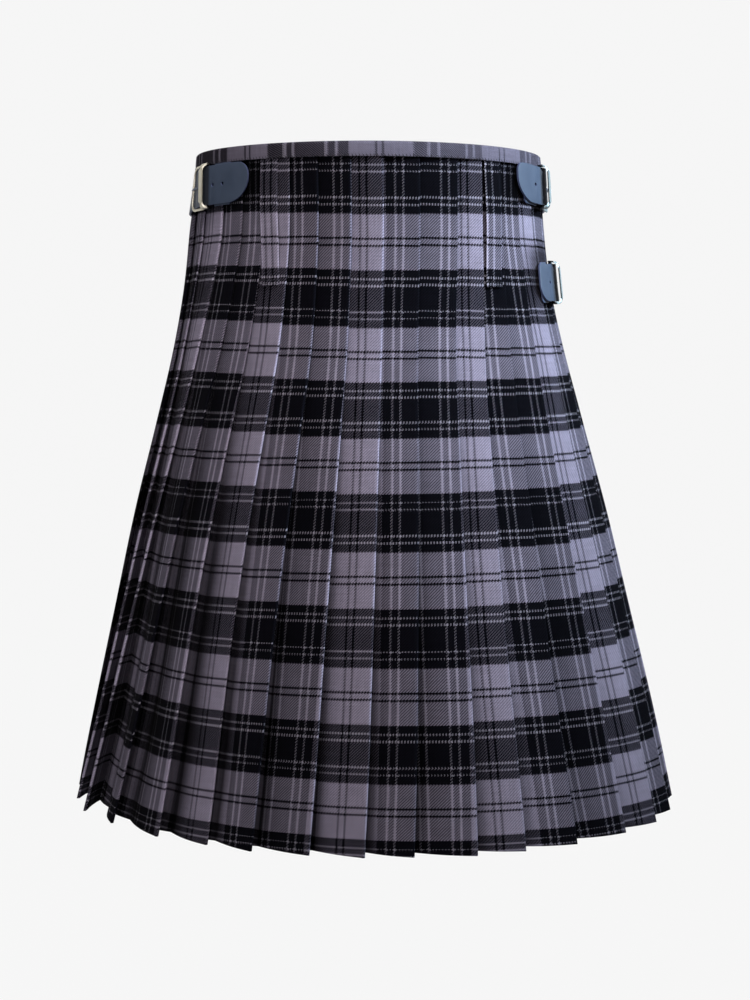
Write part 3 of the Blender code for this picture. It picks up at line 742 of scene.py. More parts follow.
def fold_before(k, below):
    return pleat_edge(PLEATS[k - 1], below) if k else left_seam(below) + SEAM


def step_under(k, below):
    """How deep under fold k the next face begins."""
    return column("step", below) + PLEATS[k].open * MM * freedom(below) ** 2


def pleat_face(k, share, below):
    """How far out the middle of pleat k's face lies, at a share of the way to its fold."""
    free = freedom(below)
    rise = step_under(k - 1, below) if k else 0
    width = pleat_edge(PLEATS[k], below) - fold_before(k, below)
    crown = width * (CROWN + FREE_CROWN * free) * np.sin(math.pi * share)
    return (-CLOTH / 2 - rise * (1 - share) + crown
            + PLEATS[k].flick * MM * free ** 2 * share ** 3)


def underlay(k, below):
    width = pleat_edge(PLEATS[k], below) - fold_before(k, below)
    return np.minimum(column("underlay", below), LONGEST_UNDERLAY * width)


def dim_at(k, below):
    """How much painted shade lies on the whole of pleat k, more as it comes free."""
    return FACE_DIM.get(k, 0) * np.clip(2.5 * freedom(below), 0, 1)


def fold_light(k):
    """How strong the painted highlight on fold k is: the first hangs turned away from the light.
    """
    return 0 if k == 0 else 1 if k < LEFT_PLEATS else 0.5


def face_columns(k):
    share = np.array(FACE_SHARES)
    start, end = float(fold_before(k, 0)), float(pleat_edge(PLEATS[k], 0))
    below = levels_from(start + (end - start) * share)
    edge, before = pleat_edge(PLEATS[k], below), fold_before(k, below)
    width = edge - before
    free = freedom(below)
    tucked = (SHADE_IN_FELL + (1 - SHADE_IN_FELL) * free) * np.interp(k, *SHADE_OF_PLEAT)
    hanging = np.clip(2 * free, 0, 1) * (k < LEFT_PLEATS)
    shade = (1 - hanging) * tucked * FACE_SHADE + hanging * LEFT_FACE_SHADE
    return (before + width * share, pleat_face(k, share, below),
            thread_at_fold(k, below) - width * (1 - share), slip_at(k, below),
            -shade - dim_at(k, below), below)


def turn_columns(k):
    turn = np.radians(FOLD_ANGLES)
    below = levels_from(float(pleat_edge(PLEATS[k], 0)) - FOLD_RADIUS * (1 - np.cos(turn)))
    edge = pleat_edge(PLEATS[k], below)
    return (edge - FOLD_RADIUS * (1 - np.cos(turn)),
            pleat_face(k, 1.0, below) - FOLD_RADIUS * (1 - np.sin(turn)),
            thread_at_fold(k, below) + FOLD_RADIUS * (1 - turn), slip_at(k, below),
            np.cos(turn) ** 2 * fold_light(k) - dim_at(k, below) * (TURN_DIM if k else 1), below)


def under_face(k, back, below):
    """The middle of the layer under pleat k, at a distance back from its fold."""
    width = pleat_edge(PLEATS[k], below) - fold_before(k, below)
    return pleat_face(k, 1 - back / width, below) - LAYER


def run_back_columns(k):
    share = np.array(RUN_SHARES)
    under = float(underlay(k, 0))
    start = float(pleat_edge(PLEATS[k], 0)) - FOLD_RADIUS
    below = levels_from(start - (under - 2 * FOLD_RADIUS) * share)
    back = FOLD_RADIUS + (underlay(k, below) - 2 * FOLD_RADIUS) * share
    return (pleat_edge(PLEATS[k], below) - back, under_face(k, back, below),
            thread_at_fold(k, below) + back, slip_at(k, below), 0.0, below)


def inner_turn_columns(k):
    turn = np.radians(FOLD_ANGLES[::2])
    start = float(pleat_edge(PLEATS[k], 0)) - float(underlay(k, 0))
    below = levels_from(start + FOLD_RADIUS * (1 - np.cos(turn)))
    under = underlay(k, below)
    middle = under_face(k, under - FOLD_RADIUS, below) - FOLD_RADIUS
    return (pleat_edge(PLEATS[k], below) - under + FOLD_RADIUS * (1 - np.cos(turn)),
            middle + FOLD_RADIUS * np.sin(turn), thread_at_fold(k, below) + under,
            slip_at(k, below), 0.0, below)


def run_out_columns(k):
    """From the inner fold out to where the next pleat's face begins."""
    share = np.array(RUN_SHARES[:-1])
    end, under = float(pleat_edge(PLEATS[k], 0)), float(underlay(k, 0))
    below = levels_from(end - (under - FOLD_RADIUS) * (1 - share))
    edge, under = pleat_edge(PLEATS[k], below), underlay(k, below)
    start_out = under_face(k, under - FOLD_RADIUS, below) - 2 * FOLD_RADIUS
    end_out = -step_under(k, below) - CLOTH / 2
    leaves = thread_at_fold(k, below) + under
    arrives, slip = leaves + under, slip_at(k, below)
    if k + 1 < len(PLEATS):
        arrives = thread_at_fold(k + 1, below) - (pleat_edge(PLEATS[k + 1], below) - edge)
        slip = slip + (slip_at(k + 1, below) - slip) * share
    return (edge - (under - FOLD_RADIUS) * (1 - share), start_out + (end_out - start_out) * share,
            leaves + (arrives - leaves) * share, slip, 0.0, below)


def last_columns():
    """The cloth past the last fold, as far as the under-apron."""
    end = float(pleat_edge(PLEATS[-1], 0))
    below = levels_from(np.array([end, float(right_seam(0))]))
    share = np.array([0, 1])
    edge, step = pleat_edge(PLEATS[-1], below), step_under(-1, below)
    thread = thread_at_fold(len(PLEATS) - 1, below) + 2 * underlay(len(PLEATS) - 1, below)
    ahead = right_seam(below) - edge
    return (edge + ahead * share, -CLOTH / 2 - step * (1 - share) + UNDER_OUT * share,
            thread + ahead * share, slip_at(-1, below), 0.0, below)


def gather(blocks):
    """Puts the blocks of columns side by side, each measure in its own grid."""
    full = [[np.broadcast_to(measure, block[-1].shape) for measure in block] for block in blocks]
    return [np.concatenate(measures, axis=1) for measures in zip(*full)]


# %% The pleated back
Tongue = namedtuple("Tongue", "side end middle")            # end is around, middle below, in mm
TONGUES = [Tongue(-1, -106, 31), Tongue(1, 148, 28), Tongue(1, 177, 112)]
TONGUE_HALF = 16            # mm: half a strap's width
TONGUE_FADE = 1.9           # the shade ends this many half widths from the middle line
TONGUE_REACH = 14           # mm: how far it reaches past the tongue's end
TONGUE_SHADE = 0.85


def beside_straps(around, below):
    """Painted shadow: 1 on the cloth round each strap's tongue, where little light comes in; 0
    elsewhere.
    """
    dark = np.zeros(np.broadcast(around, below).shape)
    for tongue in TONGUES:
        beyond = np.maximum(tongue.side * (tongue.end - around / MM), 0)
        near = np.clip(TONGUE_FADE - np.abs(below / MM - tongue.middle) / TONGUE_HALF, 0, 1)
        dark = np.maximum(dark, near * np.exp(-(beyond / TONGUE_REACH) ** 2))
    return dark


def pleats_of_cloth():
    blocks = []
    for k in range(len(PLEATS)):
        for made in (face_columns, turn_columns, run_back_columns, inner_turn_columns,
                     run_out_columns):
            blocks.append(made(k))
    blocks.append(last_columns())
    around, out, across, slip, polish_and_painted_light, below = gather(blocks)
    walls = [at_level(*face, below) for face in two_faces(around, out, CLOTH)]
    along = length_along(at_level(around, out, below)) - slip
    # painted shadow round each strap's tongue
    polish_and_painted_light = np.maximum(polish_and_painted_light - TONGUE_SHADE * beside_straps(around, below), -1)
    print(around.shape[1], "columns in the folded line")
    return sheet_of_cloth("pleated_back_cloth", *walls, across, along, TARTAN, polish_and_painted_light)


pleated_back = own_piece(pleats_of_cloth(), "tartan", "pleated_back")

# %% [markdown]
# ## The aprons
#
# The over-apron is the smooth panel that shows in front. It starts at the innermost fold on
# the wearer's left and ends in a free edge on the right. The under-apron starts under the last
# pleat and ends, hidden, inside the left. Both are cut with their threads upright at the centre
# front, so the same thread runs down the middle and more of them show towards the hem.

# %% Smooth panels
APRON_COLUMNS = 110
OVER_FREE_EDGE = Edge(243 * MM, 434 * MM)
UNDER_FREE_EDGE = Edge(-262 * MM, -476 * MM)
MIDDLE_THREAD = 49 * MM     # the middle of a black band lies at the centre front


def past_front(around, below):
    """The same place, counted on past the centre front."""
    return around - np.sign(around) * 2 * half_round(below)


def apron(name, start, end, middle_out, centre_side, nearest_pleat):
    """A panel between two edges, each given as a function of the level."""
    share = np.linspace(0, 1, APRON_COLUMNS)
    at_waist = start(0) + (end(0) - start(0)) * share
    edge_down = top_edge(at_waist)
    below = edge_down + (LENGTH - edge_down) * np.linspace(0, 1, ROWS)[:, None]
    around = start(below) + (end(below) - start(below)) * share
    walls = [at_level(around, middle_out + face, below) for face in (CLOTH / 2, -CLOTH / 2)]
    across = around - centre_side * half_round(below) + MIDDLE_THREAD
    along = length_along(at_level(around, middle_out, below)) - slip_at(nearest_pleat, below)
    return sheet_of_cloth(name, *walls, across, along, TARTAN)


over_apron = apron("over_apron_cloth",
                   lambda below: past_front(edge_at(OVER_FREE_EDGE, below), below),
                   left_seam, -CLOTH / 2, -1, 0)
own_piece(over_apron, "tartan", "over_apron")
under_apron = apron("under_apron_cloth",
                    lambda below: right_seam(below) + SEAM,
                    lambda below: past_front(edge_at(UNDER_FREE_EDGE, below), below),
                    UNDER_OUT - CLOTH / 2, 1, -1)
own_piece(under_apron, "tartan", "under_apron")

# %% [markdown]
# ## The waistband
#
# The waistband is a strip folded over the top edge and stitched down on both sides. It is cut
# from a light band, so its fine lines run up and down only. It is a line of points across the
# strip, round at the top where it folds, carried along the sloping edge.

# %% Folded strips
BAND_DOWN, BAND_INNER_DOWN = 11.5 * MM, 9 * MM
BAND_LEGS = (1, 0.82, 0.6, 0.4, 0.2, 0.06)      # points down each side, as shares of it
BAND_SWELL = 0.25 * MM
BAND_OUT = 0.45 * MM
BAND_STEP = 2.4 * MM
UNDER_BAND_START = 222 * MM
BAND_REPEAT = 121 * MM      # the strip is eased round, which widens its bands
BAND_THREAD = 13.5 * MM     # a light band's middle lies here, around from the centre back
# How far the strip was pulled along where it was eased on: (place along it, shift), in mm.
BAND_EASE = np.array([(-145, -6), (-123, -1.3), (-118.5, 1.3), (-101, 9.6), (-83, 2),
                      (-76.5, 3.8), (-47, -1.4), (-28, -1.9), (-4, 0.2), (1.3, 2.4), (28, 1.7),
                      (42, -2), (51, -2.4), (77, -4.2), (84, -2.7), (92.5, -1.1), (112, 5.3),
                      (118, 7), (140, 11)])

BAND_TWILL = twill("waistband_twill", repeat=BAND_REPEAT, strip=True)


def band(name, start, end, outer_face, inner_face):
    stations = int(math.ceil((end - start) / BAND_STEP)) + 1
    place = np.linspace(start, end, stations)[:, None]
    outside = outer_face(place) + BAND_OUT + CLOTH / 2
    inside = inner_face(place) - BAND_OUT - CLOTH / 2
    half = (outside - inside) / 2
    legs, turns = np.array(BAND_LEGS), np.radians(np.linspace(0, 180, 9).round())
    top = -SEAM - CLOTH / 2
    swell = BAND_SWELL * np.sin(math.pi * legs)
    out = np.concatenate([outside + swell, inside + half + half * np.cos(turns),
                          inside - swell[::-1]], axis=1)
    down = np.concatenate([legs * BAND_DOWN, top * np.sin(turns),
                           legs[::-1] * BAND_INNER_DOWN])
    down = np.broadcast_to(down, out.shape)
    (down_a, out_a), (down_b, out_b) = two_faces(down, out, CLOTH)
    walls = [on_kilt(place, a, b) for a, b in ((out_a, down_a), (out_b, down_b))]
    along = length_along(on_kilt(place, out, down).transpose(1, 0, 2)).T
    across = place - BAND_THREAD
    across = across + np.interp(across / MM, *BAND_EASE.T) * MM
    return sheet_of_cloth(name, *walls, np.broadcast_to(across, out.shape), along, BAND_TWILL)


def waistbands():
    step = float(column("step", 0))
    behind = step + 2 * LAYER + CLOTH
    first_fold, last_fold = float(left_seam(0)), PLEATS[-1].waist * MM
    seam = float(right_seam(0))

    def behind_pleats(place):
        return -CLOTH - (behind - CLOTH) * np.clip((place - first_fold) / LEFT_SEAM_AHEAD, 0, 1)

    def past_last_fold(place):
        share = np.clip((place - last_fold) / (seam - last_fold), 0, 1)
        return -step + (UNDER_OUT + step) * share

    over = band("waistband_cloth", float(past_front(OVER_FREE_EDGE.waist, 0)), last_fold + CLOTH,
                lambda place: place * 0, behind_pleats)
    under = band("under_waistband_cloth", UNDER_BAND_START,
                 float(past_front(UNDER_FREE_EDGE.waist, 0)),
                 past_last_fold, lambda place: past_last_fold(place) - CLOTH)
    return own_piece(over, "waistband_tartan", "waistband"), own_piece(
        under, "waistband_tartan", "under_waistband")


waistband, under_waistband = waistbands()

# %% [markdown]
# ## The belt loops
#
# A belt loop is a narrow strip with its edges turned in, so it is thickest in the middle and
# round at its long edges. It is sewn under the waistband and at its lower end, and bows out a
# little between.

# %% Belt loops
LOOP_WIDTH = 16.5 * MM
LOOP_TOP, LOOP_BOTTOM = 12.2 * MM, 121 * MM
LOOP_RISE = 1.1 * MM
LOOP_ROWS, LOOP_COLUMNS = 90, 17
LOOP_LEAN = 0.4 * MM        # no strip is sewn on quite straight
LOOP_LOOKS_AT = 60 * MM
LOOP_AROUND = {"left": -86 * MM, "right": 117.8 * MM}
LOOP_MISMATCH = {"left": (1.5 * MM, 0.9 * MM), "right": (-2.0 * MM, -1.4 * MM)}


def thread_on_face(around, below):
    """The thread that lies at a place on the pleats' faces, and how far its checks slipped."""
    for k, pleat in enumerate(PLEATS):
        edge = float(pleat_edge(pleat, below))
        if around <= edge:
            return float(thread_at_fold(k, below)) - (edge - around), float(slip_at(k, below))
    return 0.0, 0.0


def loop_lean(side, share):
    """How far the loop leans aside, at a share of its length."""
    return LOOP_LEAN * np.sin(7 * share + LOOP_AROUND[side] * 40)


def belt_loop(side):
    share = np.linspace(0, 1, LOOP_ROWS)[:, None]
    across = np.linspace(-0.5, 0.5, LOOP_COLUMNS)
    down = LOOP_TOP + (LOOP_BOTTOM - LOOP_TOP) * share
    bow = LOOP_RISE * np.sin(math.pi * np.clip((share - 0.05) / 0.9, 0, 1))
    roundness = np.sqrt(np.clip(1 - np.abs(2 * across) ** 5, 0.02, 1))
    thickness = CLOTH * roundness
    around = LOOP_AROUND[side] + LOOP_WIDTH * across + loop_lean(side, share)
    seat = SEAM + CLOTH / 2 + bow
    down = np.broadcast_to(down, around.shape)
    walls = [on_kilt(around, seat + face * thickness / 2, down) for face in (1, -1)]
    thread, slip = thread_on_face(LOOP_AROUND[side], LOOP_LOOKS_AT)
    aside, lower = LOOP_MISMATCH[side]
    threads = np.broadcast_to(thread + aside + LOOP_WIDTH * across, around.shape)
    # painted highlight along the loop's two long edges
    polish_and_painted_light = np.broadcast_to(np.clip(np.abs(2 * across) * 6 - 5, 0, 1), around.shape)
    loop = sheet_of_cloth("belt_loop_cloth_" + side, *walls, threads, down + lower - slip,
                          TARTAN, polish_and_painted_light)
    return own_piece(loop, "tartan", "belt_loop_" + side)


belt_loops = [belt_loop(side) for side in LOOP_AROUND]

# %% [markdown]
# ## Straps of leather
#
# Three straps hold the kilt closed. Each is sewn to an apron in front and runs back through
# its buckle, and the free end, the tongue, lies on the pleats. A saddler cuts such a strap
# flat, rounds its tongue, punches its holes and softens its edges before it is ever bent. That
# is a good order in Blender too: here each strap is a flat bar that gets its round end, holes
# and soft edges, and only then is laid along a smooth line. The tongue's lower corner is cut
# much rounder than the upper one.
#
# A leather tab, sewn on under the tongue, is folded round the heel bar of each buckle.

# %% Where the straps lie
# heel: the buckle's heel bar, around from the centre back. down: the strap's middle line,
# below the top edge. tongue, root_start, root_end, tab: along the strap from the heel bar.
# corners: how round the tongue's upper and lower corner are. half: half the strap's width.
# slope: how much the strap drops along its length. All in mm; side is +1 on the wearer's
# right and -1 on the left.
Fastening = namedtuple("Fastening", "name side heel down tongue root_start root_end holes "
                                    "corners tab half slope")
FASTENINGS = [
    Fastening("left", -1, -156, 30.8, 50, 110, 150, (-10, -21.5), (12, 22), 30, 17.2, 0.03),
    Fastening("right", 1, 189, 28.2, 41, 58, 100, (-15,), (7, 22), 30, 16.5, 0.05),
    Fastening("hip", 1, 207, 111.5, 30, 80, 122, (-12,), (3, 15), 25, 16.5, -0.07),
]
LEATHER_GAP = 0.6
STRAP_THICK = 2.0
TAB_THICK = 1.2
TAB_WIDER, TAB_BAR_NARROWER = 1.4, 0.8      # at each side, than the strap
TAB_TURN_BACK = 15
WIRE = 1.4                      # half the buckle wire's thickness at its heel bar
FRONT_WIRE = 1.0                # and at its front bar
BUCKLE_LENGTH = 32
LOOSE = 0.3                     # between pieces that touch
HEEL_OUT = LEATHER_GAP + TAB_THICK + LOOSE + WIRE
STRAP_UNDER_BAR = 1.7
FRONT_OUT = STRAP_UNDER_BAR + STRAP_THICK / 2 + LOOSE + FRONT_WIRE
PRONG = 0.9                     # half the prong's thickness
PRONG_HOOK = WIRE + LOOSE + PRONG
HOLE = 1.5
SLOT_FROM, SLOT_TO = 1.4, 13.5  # where the prong comes up through the strap
SLIT_ALONG = 85                 # the left strap goes in through the over-apron here


def strap_line(place):
    """The middle of the strap as (along, out) points in mm, from the tongue to the root."""
    half_thick = STRAP_THICK / 2
    on_one_layer = LEATHER_GAP + TAB_THICK + LOOSE + half_thick
    on_two_layers = on_one_layer + TAB_THICK + LOOSE
    over_bar = HEEL_OUT + PRONG_HOOK + PRONG + LOOSE + half_thick
    flat = LEATHER_GAP + half_thick
    tip = -place.tongue
    line = [(tip, flat + 0.9)]
    if tip < -place.tab - 12:
        line += [(tip + 5, flat + 0.7), (tip + 10, flat + 0.7)]
    if tip < -place.tab - 4:
        line.append((-place.tab - 3, on_one_layer))
    else:
        line = [(tip, on_one_layer + 0.4), (tip + 3, on_one_layer)]
    line += [(-TAB_TURN_BACK - 4, on_one_layer + 0.4), (-TAB_TURN_BACK, on_two_layers),
             (-9, on_two_layers + 0.3), (-5, on_two_layers + 1.2), (-1.5, over_bar - 0.2),
             (2.5, over_bar), (6, over_bar - 1.2), (11, 5.5), (17, 4.3), (23, 2.9),
             (BUCKLE_LENGTH - 4, STRAP_UNDER_BAR), (BUCKLE_LENGTH + 5, STRAP_UNDER_BAR)]
    if place.name == "left":
        inside = UNDER_OUT / MM + LOOSE + half_thick
        line += [(58, flat), (SLIT_ALONG - 8, flat), (SLIT_ALONG - 2, flat),
                 (SLIT_ALONG + 2, inside), (SLIT_ALONG + 9, inside)]
        root = inside
    else:
        line.append((BUCKLE_LENGTH + 14, flat + 0.2))
        root = flat
    return line + [(place.root_start, root), (place.root_end, root)]


def round_bar(radius, angles):
    """Points at a radius round the heel bar, at angles in degrees."""
    return [(radius * math.cos(math.radians(angle)),
             HEEL_OUT + radius * math.sin(math.radians(angle))) for angle in angles]


def tab_line(place):
    low = LEATHER_GAP + TAB_THICK / 2
    high = low + TAB_THICK + LOOSE
    turn = WIRE + LOOSE + TAB_THICK / 2
    line = [(-place.tab, low), (-place.tab / 2, low), (-7, low), (-3, low)]
    line += round_bar(turn, (-90, -55, -20, 15, 50, 85, 115))
    return line + [(-8, high + 0.1), (-TAB_TURN_BACK, high)]


print(len(FASTENINGS), "straps; a heel bar lies", HEEL_OUT, "mm out from the cloth")

# %% Laying a flat piece along a line
class Bend:
    """A smooth line to lay leather on, measured by the length run along it."""

    def __init__(self, line, rounds=2):
        points = np.array(line, float)
        for _ in range(rounds):
            a, b = points[:-1], points[1:]
            between = np.stack([0.75 * a + 0.25 * b, 0.25 * a + 0.75 * b], axis=1)
            points = np.concatenate([points[:1], between.reshape(-1, 2), points[-1:]])
        self.points = points
        self.run = np.concatenate([[0], np.cumsum(np.hypot(*np.diff(points, axis=0).T))])
        slope = np.gradient(points, self.run, axis=0)
        self.slope = slope / np.linalg.norm(slope, axis=1, keepdims=True)
        turning = np.abs(np.gradient(np.unwrap(np.arctan2(*self.slope.T)), self.run))
        self.turning = np.clip(turning * 4, 0, 1)
        self.length = self.run[-1]

    def run_at(self, along):
        return float(np.interp(along, self.points[:, 0], self.run))

    def lay(self, run, height):
        """(along, out) of points at a run and a height over the middle of the leather."""
        along, out, tx, tz = (np.interp(run, self.run, values) for values in (
            *self.points.T, *self.slope.T))
        return along - tz * height, out + tx * height


def lay_on_kilt(piece, place, bend):
    """Bends a flat piece, with X along it, Y down and Z out, in mm, onto the kilt."""
    flat = np.array([v.co for v in piece.data.vertices])
    along, out = bend.lay(flat[:, 0], flat[:, 2]) if bend else (flat[:, 0], flat[:, 2])
    spots = on_kilt((place.heel + place.side * along) * MM, out * MM,
                    (place.down + place.slope * along + flat[:, 1]) * MM)
    piece.data.vertices.foreach_set("co", spots.ravel())
    face_outwards(piece)
    bpy.ops.object.shade_smooth_by_angle(angle=math.radians(40))


# %% Tools for cutting leather flat, in mm
NEAR = 0.01                     # points closer than this are at the same place
PUNCH_DEPTH = 8                 # deeper than any leather is thick


def flat_bar(name, start, end, half, thick, middle=0.0):
    bpy.ops.object.select_all(action="DESELECT")
    bpy.ops.mesh.primitive_cube_add(size=1, location=((start + end) / 2, 0, middle))
    bar = bpy.context.object
    bar.name = bar.data.name = name
    bar.scale = (end - start, 2 * half, thick)
    bpy.ops.object.transform_apply(location=True, rotation=True, scale=True)
    return bar


def round_corner(bar, at_end, at_side, radius, steps=12):
    """Rounds the corner of a flat bar that is nearest to a given end and side."""
    ends = np.array([v.co for v in bar.data.vertices])[:, :2]
    corner = (ends[:, 0].max() if at_end > 0 else ends[:, 0].min(),
              ends[:, 1].max() if at_side > 0 else ends[:, 1].min())
    work_on(bar, "EDGE",
            lambda edge: all(np.hypot(*(ends[v] - corner)) < NEAR for v in edge.vertices),
            bpy.ops.mesh.bevel, offset=radius, offset_type="OFFSET", segments=steps,
            affect="EDGES")


def join_with(piece, tool, operation):
    """Adds the shape of the tool to the piece, or takes it out."""
    apply_modifier(piece, "BOOLEAN", operation=operation, solver="EXACT", object=tool)
    bpy.data.objects.remove(tool)


def punch_hole(bar, at, radius):
    bpy.ops.mesh.primitive_cylinder_add(vertices=24, radius=radius, depth=PUNCH_DEPTH,
                                        location=(at, 0, 0))
    join_with(bar, bpy.context.object, "DIFFERENCE")


def punch_slot(bar, start, end, half):
    tool = flat_bar("slot_tool", start, end, half, PUNCH_DEPTH)
    for at_end in (-1, 1):
        for at_side in (-1, 1):
            round_corner(tool, at_end, at_side, half * 0.98, steps=5)
    join_with(bar, tool, "DIFFERENCE")


def soften_edges(bar, width):
    apply_modifier(bar, "BEVEL", width=width, segments=3, limit_method="ANGLE",
                   angle_limit=math.radians(50))


def slice_across(bar, places):
    """Cuts new lines of points across the bar, so that it can bend there."""
    select_only(bar)
    bpy.ops.object.mode_set(mode="EDIT")
    for at in places:
        bpy.ops.mesh.select_all(action="SELECT")
        bpy.ops.mesh.bisect(plane_co=(at, 0, 0), plane_no=(1, 0, 0))
    for across in (-8.5, 0, 8.5):
        bpy.ops.mesh.select_all(action="SELECT")
        bpy.ops.mesh.bisect(plane_co=(0, across, 0), plane_no=(0, 1, 0))
    bpy.ops.mesh.select_all(action="SELECT")
    bpy.ops.mesh.remove_doubles(threshold=0.002)
    bpy.ops.object.mode_set(mode="OBJECT")


def mark_leather(bar, bend):
    """Marks cut edges, bent places, and the painted shadow where the keeper covers the strap, for
    the finish to show them.
    """
    normals = np.array([v.normal for v in bar.data.vertices])
    runs = np.array([v.co.x for v in bar.data.vertices])
    along = np.interp(runs, bend.run, bend.points[:, 0])
    mark_points(bar.data, "cut_edge", np.clip((0.96 - np.abs(normals[:, 2])) / 0.3, 0, 1))
    mark_points(bar.data, "bent", np.interp(runs, bend.run, bend.turning))
    mark_points(bar.data, "keeper_painted_shadow", np.interp(along, (-7.0, -5.4, 4, 7), (0, 1, 1, 0)))


print("made the leather tools")

# %% [markdown]
# ## Leather, metal and thread
#
# The leather is black with a blue cast. It has a fine grain, slightly uneven dye, a paler
# polish where it bends, cut edges that are sealed and catch the light, and a painted shadow,
# nearly black, where it runs under the keeper. The buckles are pale nickel with a little
# yellow in it, and very fine scratches. That nickel is painted light and warm on the left
# buckle, and darker and cool on the right ones, for the light and reflections that fall on
# each. The corners by the heel bar get painted shade. Their pins are painted dark, for the
# dark that they reflect. The sewing thread is black.

# %% Finishes
def leather_finish():
    shader = Shader("blue_black_leather")
    spot = shader.add("ShaderNodeTexCoord", output=3)
    dye = shader.noise(spot, 55.0, 4.0)
    grain = shader.add("ShaderNodeTexVoronoi", {"Vector": spot, "Scale": 1500.0})
    creases = shader.noise(spot, 420.0, 3.0, distortion=1.2)
    polish_and_painted_light = shader.times(shader.marked("bent"), creases, 0.2)
    colour = shader.mix(dye, (0.026, 0.039, 0.064, 1), (0.046, 0.064, 0.098, 1))
    colour = shader.mix(polish_and_painted_light, colour, (0.062, 0.080, 0.115, 1))
    colour = shader.mix(shader.times(shader.marked("cut_edge"), 0.75), colour,
                        (0.075, 0.095, 0.195, 1))
    # painted shadow, nearly black, where the strap runs under the keeper
    colour = shader.mix(shader.times(shader.marked("keeper_painted_shadow"), 0.9), colour,
                        (0.003, 0.004, 0.007, 1))
    bump = shader.bump(shader.line(grain, 0.6, shader.times(creases, 0.8)), 0.35, 0.15)
    return shader.finish(Base_Color=colour, Normal=bump, Specular_IOR_Level=0.30,
                         Roughness=shader.line(dye, 0.16, 0.50))


def metal_finish(name, bright, dull):
    shader = Shader(name)
    spot = shader.add("ShaderNodeTexCoord", output=3)
    brushed = shader.stretched_noise(spot, (900, 900, 110), 3.0)
    colour = shader.mix(shader.noise(spot, 160.0, 3.0), bright, dull)
    # painted shade, nearly black, on the buckle's corners by the heel bar
    colour = shader.mix(shader.marked("dirty"), colour, (0.012, 0.013, 0.018, 1))
    return shader.finish(Base_Color=colour, Metallic=1.0, Normal=shader.bump(brushed, 0.12, 0.05),
                         Roughness=shader.line(brushed, 0.20, 0.50))


def thread_finish():
    shader = Shader("black_thread")
    strands = shader.noise(shader.add("ShaderNodeTexCoord", output=3), 2600.0, 2.0)
    colour = shader.mix(strands, (0.006, 0.006, 0.009, 1), (0.022, 0.021, 0.028, 1))
    return shader.finish(Base_Color=colour, Roughness=0.7, Specular_IOR_Level=0.2,
                         Normal=shader.bump(strands, 0.5, 0.08))


LEATHER, THREAD_BLACK = leather_finish(), thread_finish()
# one nickel in two copies: painted light and warm for the left buckle, painted darker and cool for
# the right ones, for the light and reflections that fall on each
NICKEL_PAINTED_WARM_LIGHT = metal_finish("nickel_painted_warm_light", (0.88, 0.86, 0.76, 1), (0.72, 0.67, 0.52, 1))
NICKEL_PAINTED_COOL_DIM = metal_finish("nickel_painted_cool_dim", (0.36, 0.44, 0.47, 1), (0.27, 0.32, 0.31, 1))
# the pins are painted dark, for the dark that they reflect
PIN_PAINTED_DARK = metal_finish("pin_metal_painted_dark", (0.20, 0.23, 0.28, 1), (0.10, 0.12, 0.16, 1))
for finish in (LEATHER, THREAD_BLACK, NICKEL_PAINTED_WARM_LIGHT, NICKEL_PAINTED_COOL_DIM, PIN_PAINTED_DARK):
    print("made", finish.name)

# %% The straps
SLICE = 2.4                     # mm between the lines of points across a strap
SLOT_HALF = PRONG + 0.5


def lay_leather(bar, place, bend, softness, slices, node):
    """Softens a cut bar, slices it so that it can bend, and lays it on the kilt."""
    soften_edges(bar, softness)
    slice_across(bar, np.arange(slices, bend.length, slices))
    mark_leather(bar, bend)
    lay_on_kilt(bar, place, bend)
    bar.data.materials.append(LEATHER)
    return own_piece(bar, "black_leather", node + place.name)


def leather_strap(place):
    bend = Bend(strap_line(place))
    strap = flat_bar("strap_leather_" + place.name, 0, bend.length, place.half, STRAP_THICK)
    for at_side, radius in zip((-1, 1), place.corners):
        round_corner(strap, -1, at_side, radius)
    for at_side in (-1, 1):
        round_corner(strap, 1, at_side, 3, steps=5)
    for hole in place.holes:
        punch_hole(strap, bend.run_at(hole), HOLE)
    punch_slot(strap, bend.run_at(SLOT_FROM), bend.run_at(SLOT_TO), SLOT_HALF)
    return lay_leather(strap, place, bend, 0.5, SLICE, "strap_")


straps = [leather_strap(place) for place in FASTENINGS]
for strap in straps:
    print("%-22s %5d points" % (strap.name, len(strap.data.vertices)))

# %% The tabs
TAB_SLICE = 1.0
TAB_NECK = 7                    # a tab is narrower from this far before the heel bar


def leather_tab(place):
    bend = Bend(tab_line(place))
    tab_half, bar_half = place.half + TAB_WIDER, place.half - TAB_BAR_NARROWER
    tab = flat_bar("tab_leather_" + place.name, 0, bend.length, tab_half, TAB_THICK)
    for at_side in (-1, 1):
        round_corner(tab, -1, at_side, 4, steps=6)
    narrow_from = place.tab - TAB_NECK
    slice_across(tab, (narrow_from - 1, narrow_from))
    for point in tab.data.vertices:
        if point.co.x > narrow_from - NEAR:
            point.co.y *= bar_half / tab_half
    room_for_hook = PRONG_HOOK + PRONG + 2 * LOOSE
    punch_slot(tab, place.tab - room_for_hook, bend.length - TAB_TURN_BACK + room_for_hook,
               SLOT_HALF)
    return lay_leather(tab, place, bend, 0.3, TAB_SLICE, "tab_")


for place in FASTENINGS:
    leather_tab(place)
print("each tab is", round(Bend(tab_line(FASTENINGS[0])).length, 1), "mm long when flat")

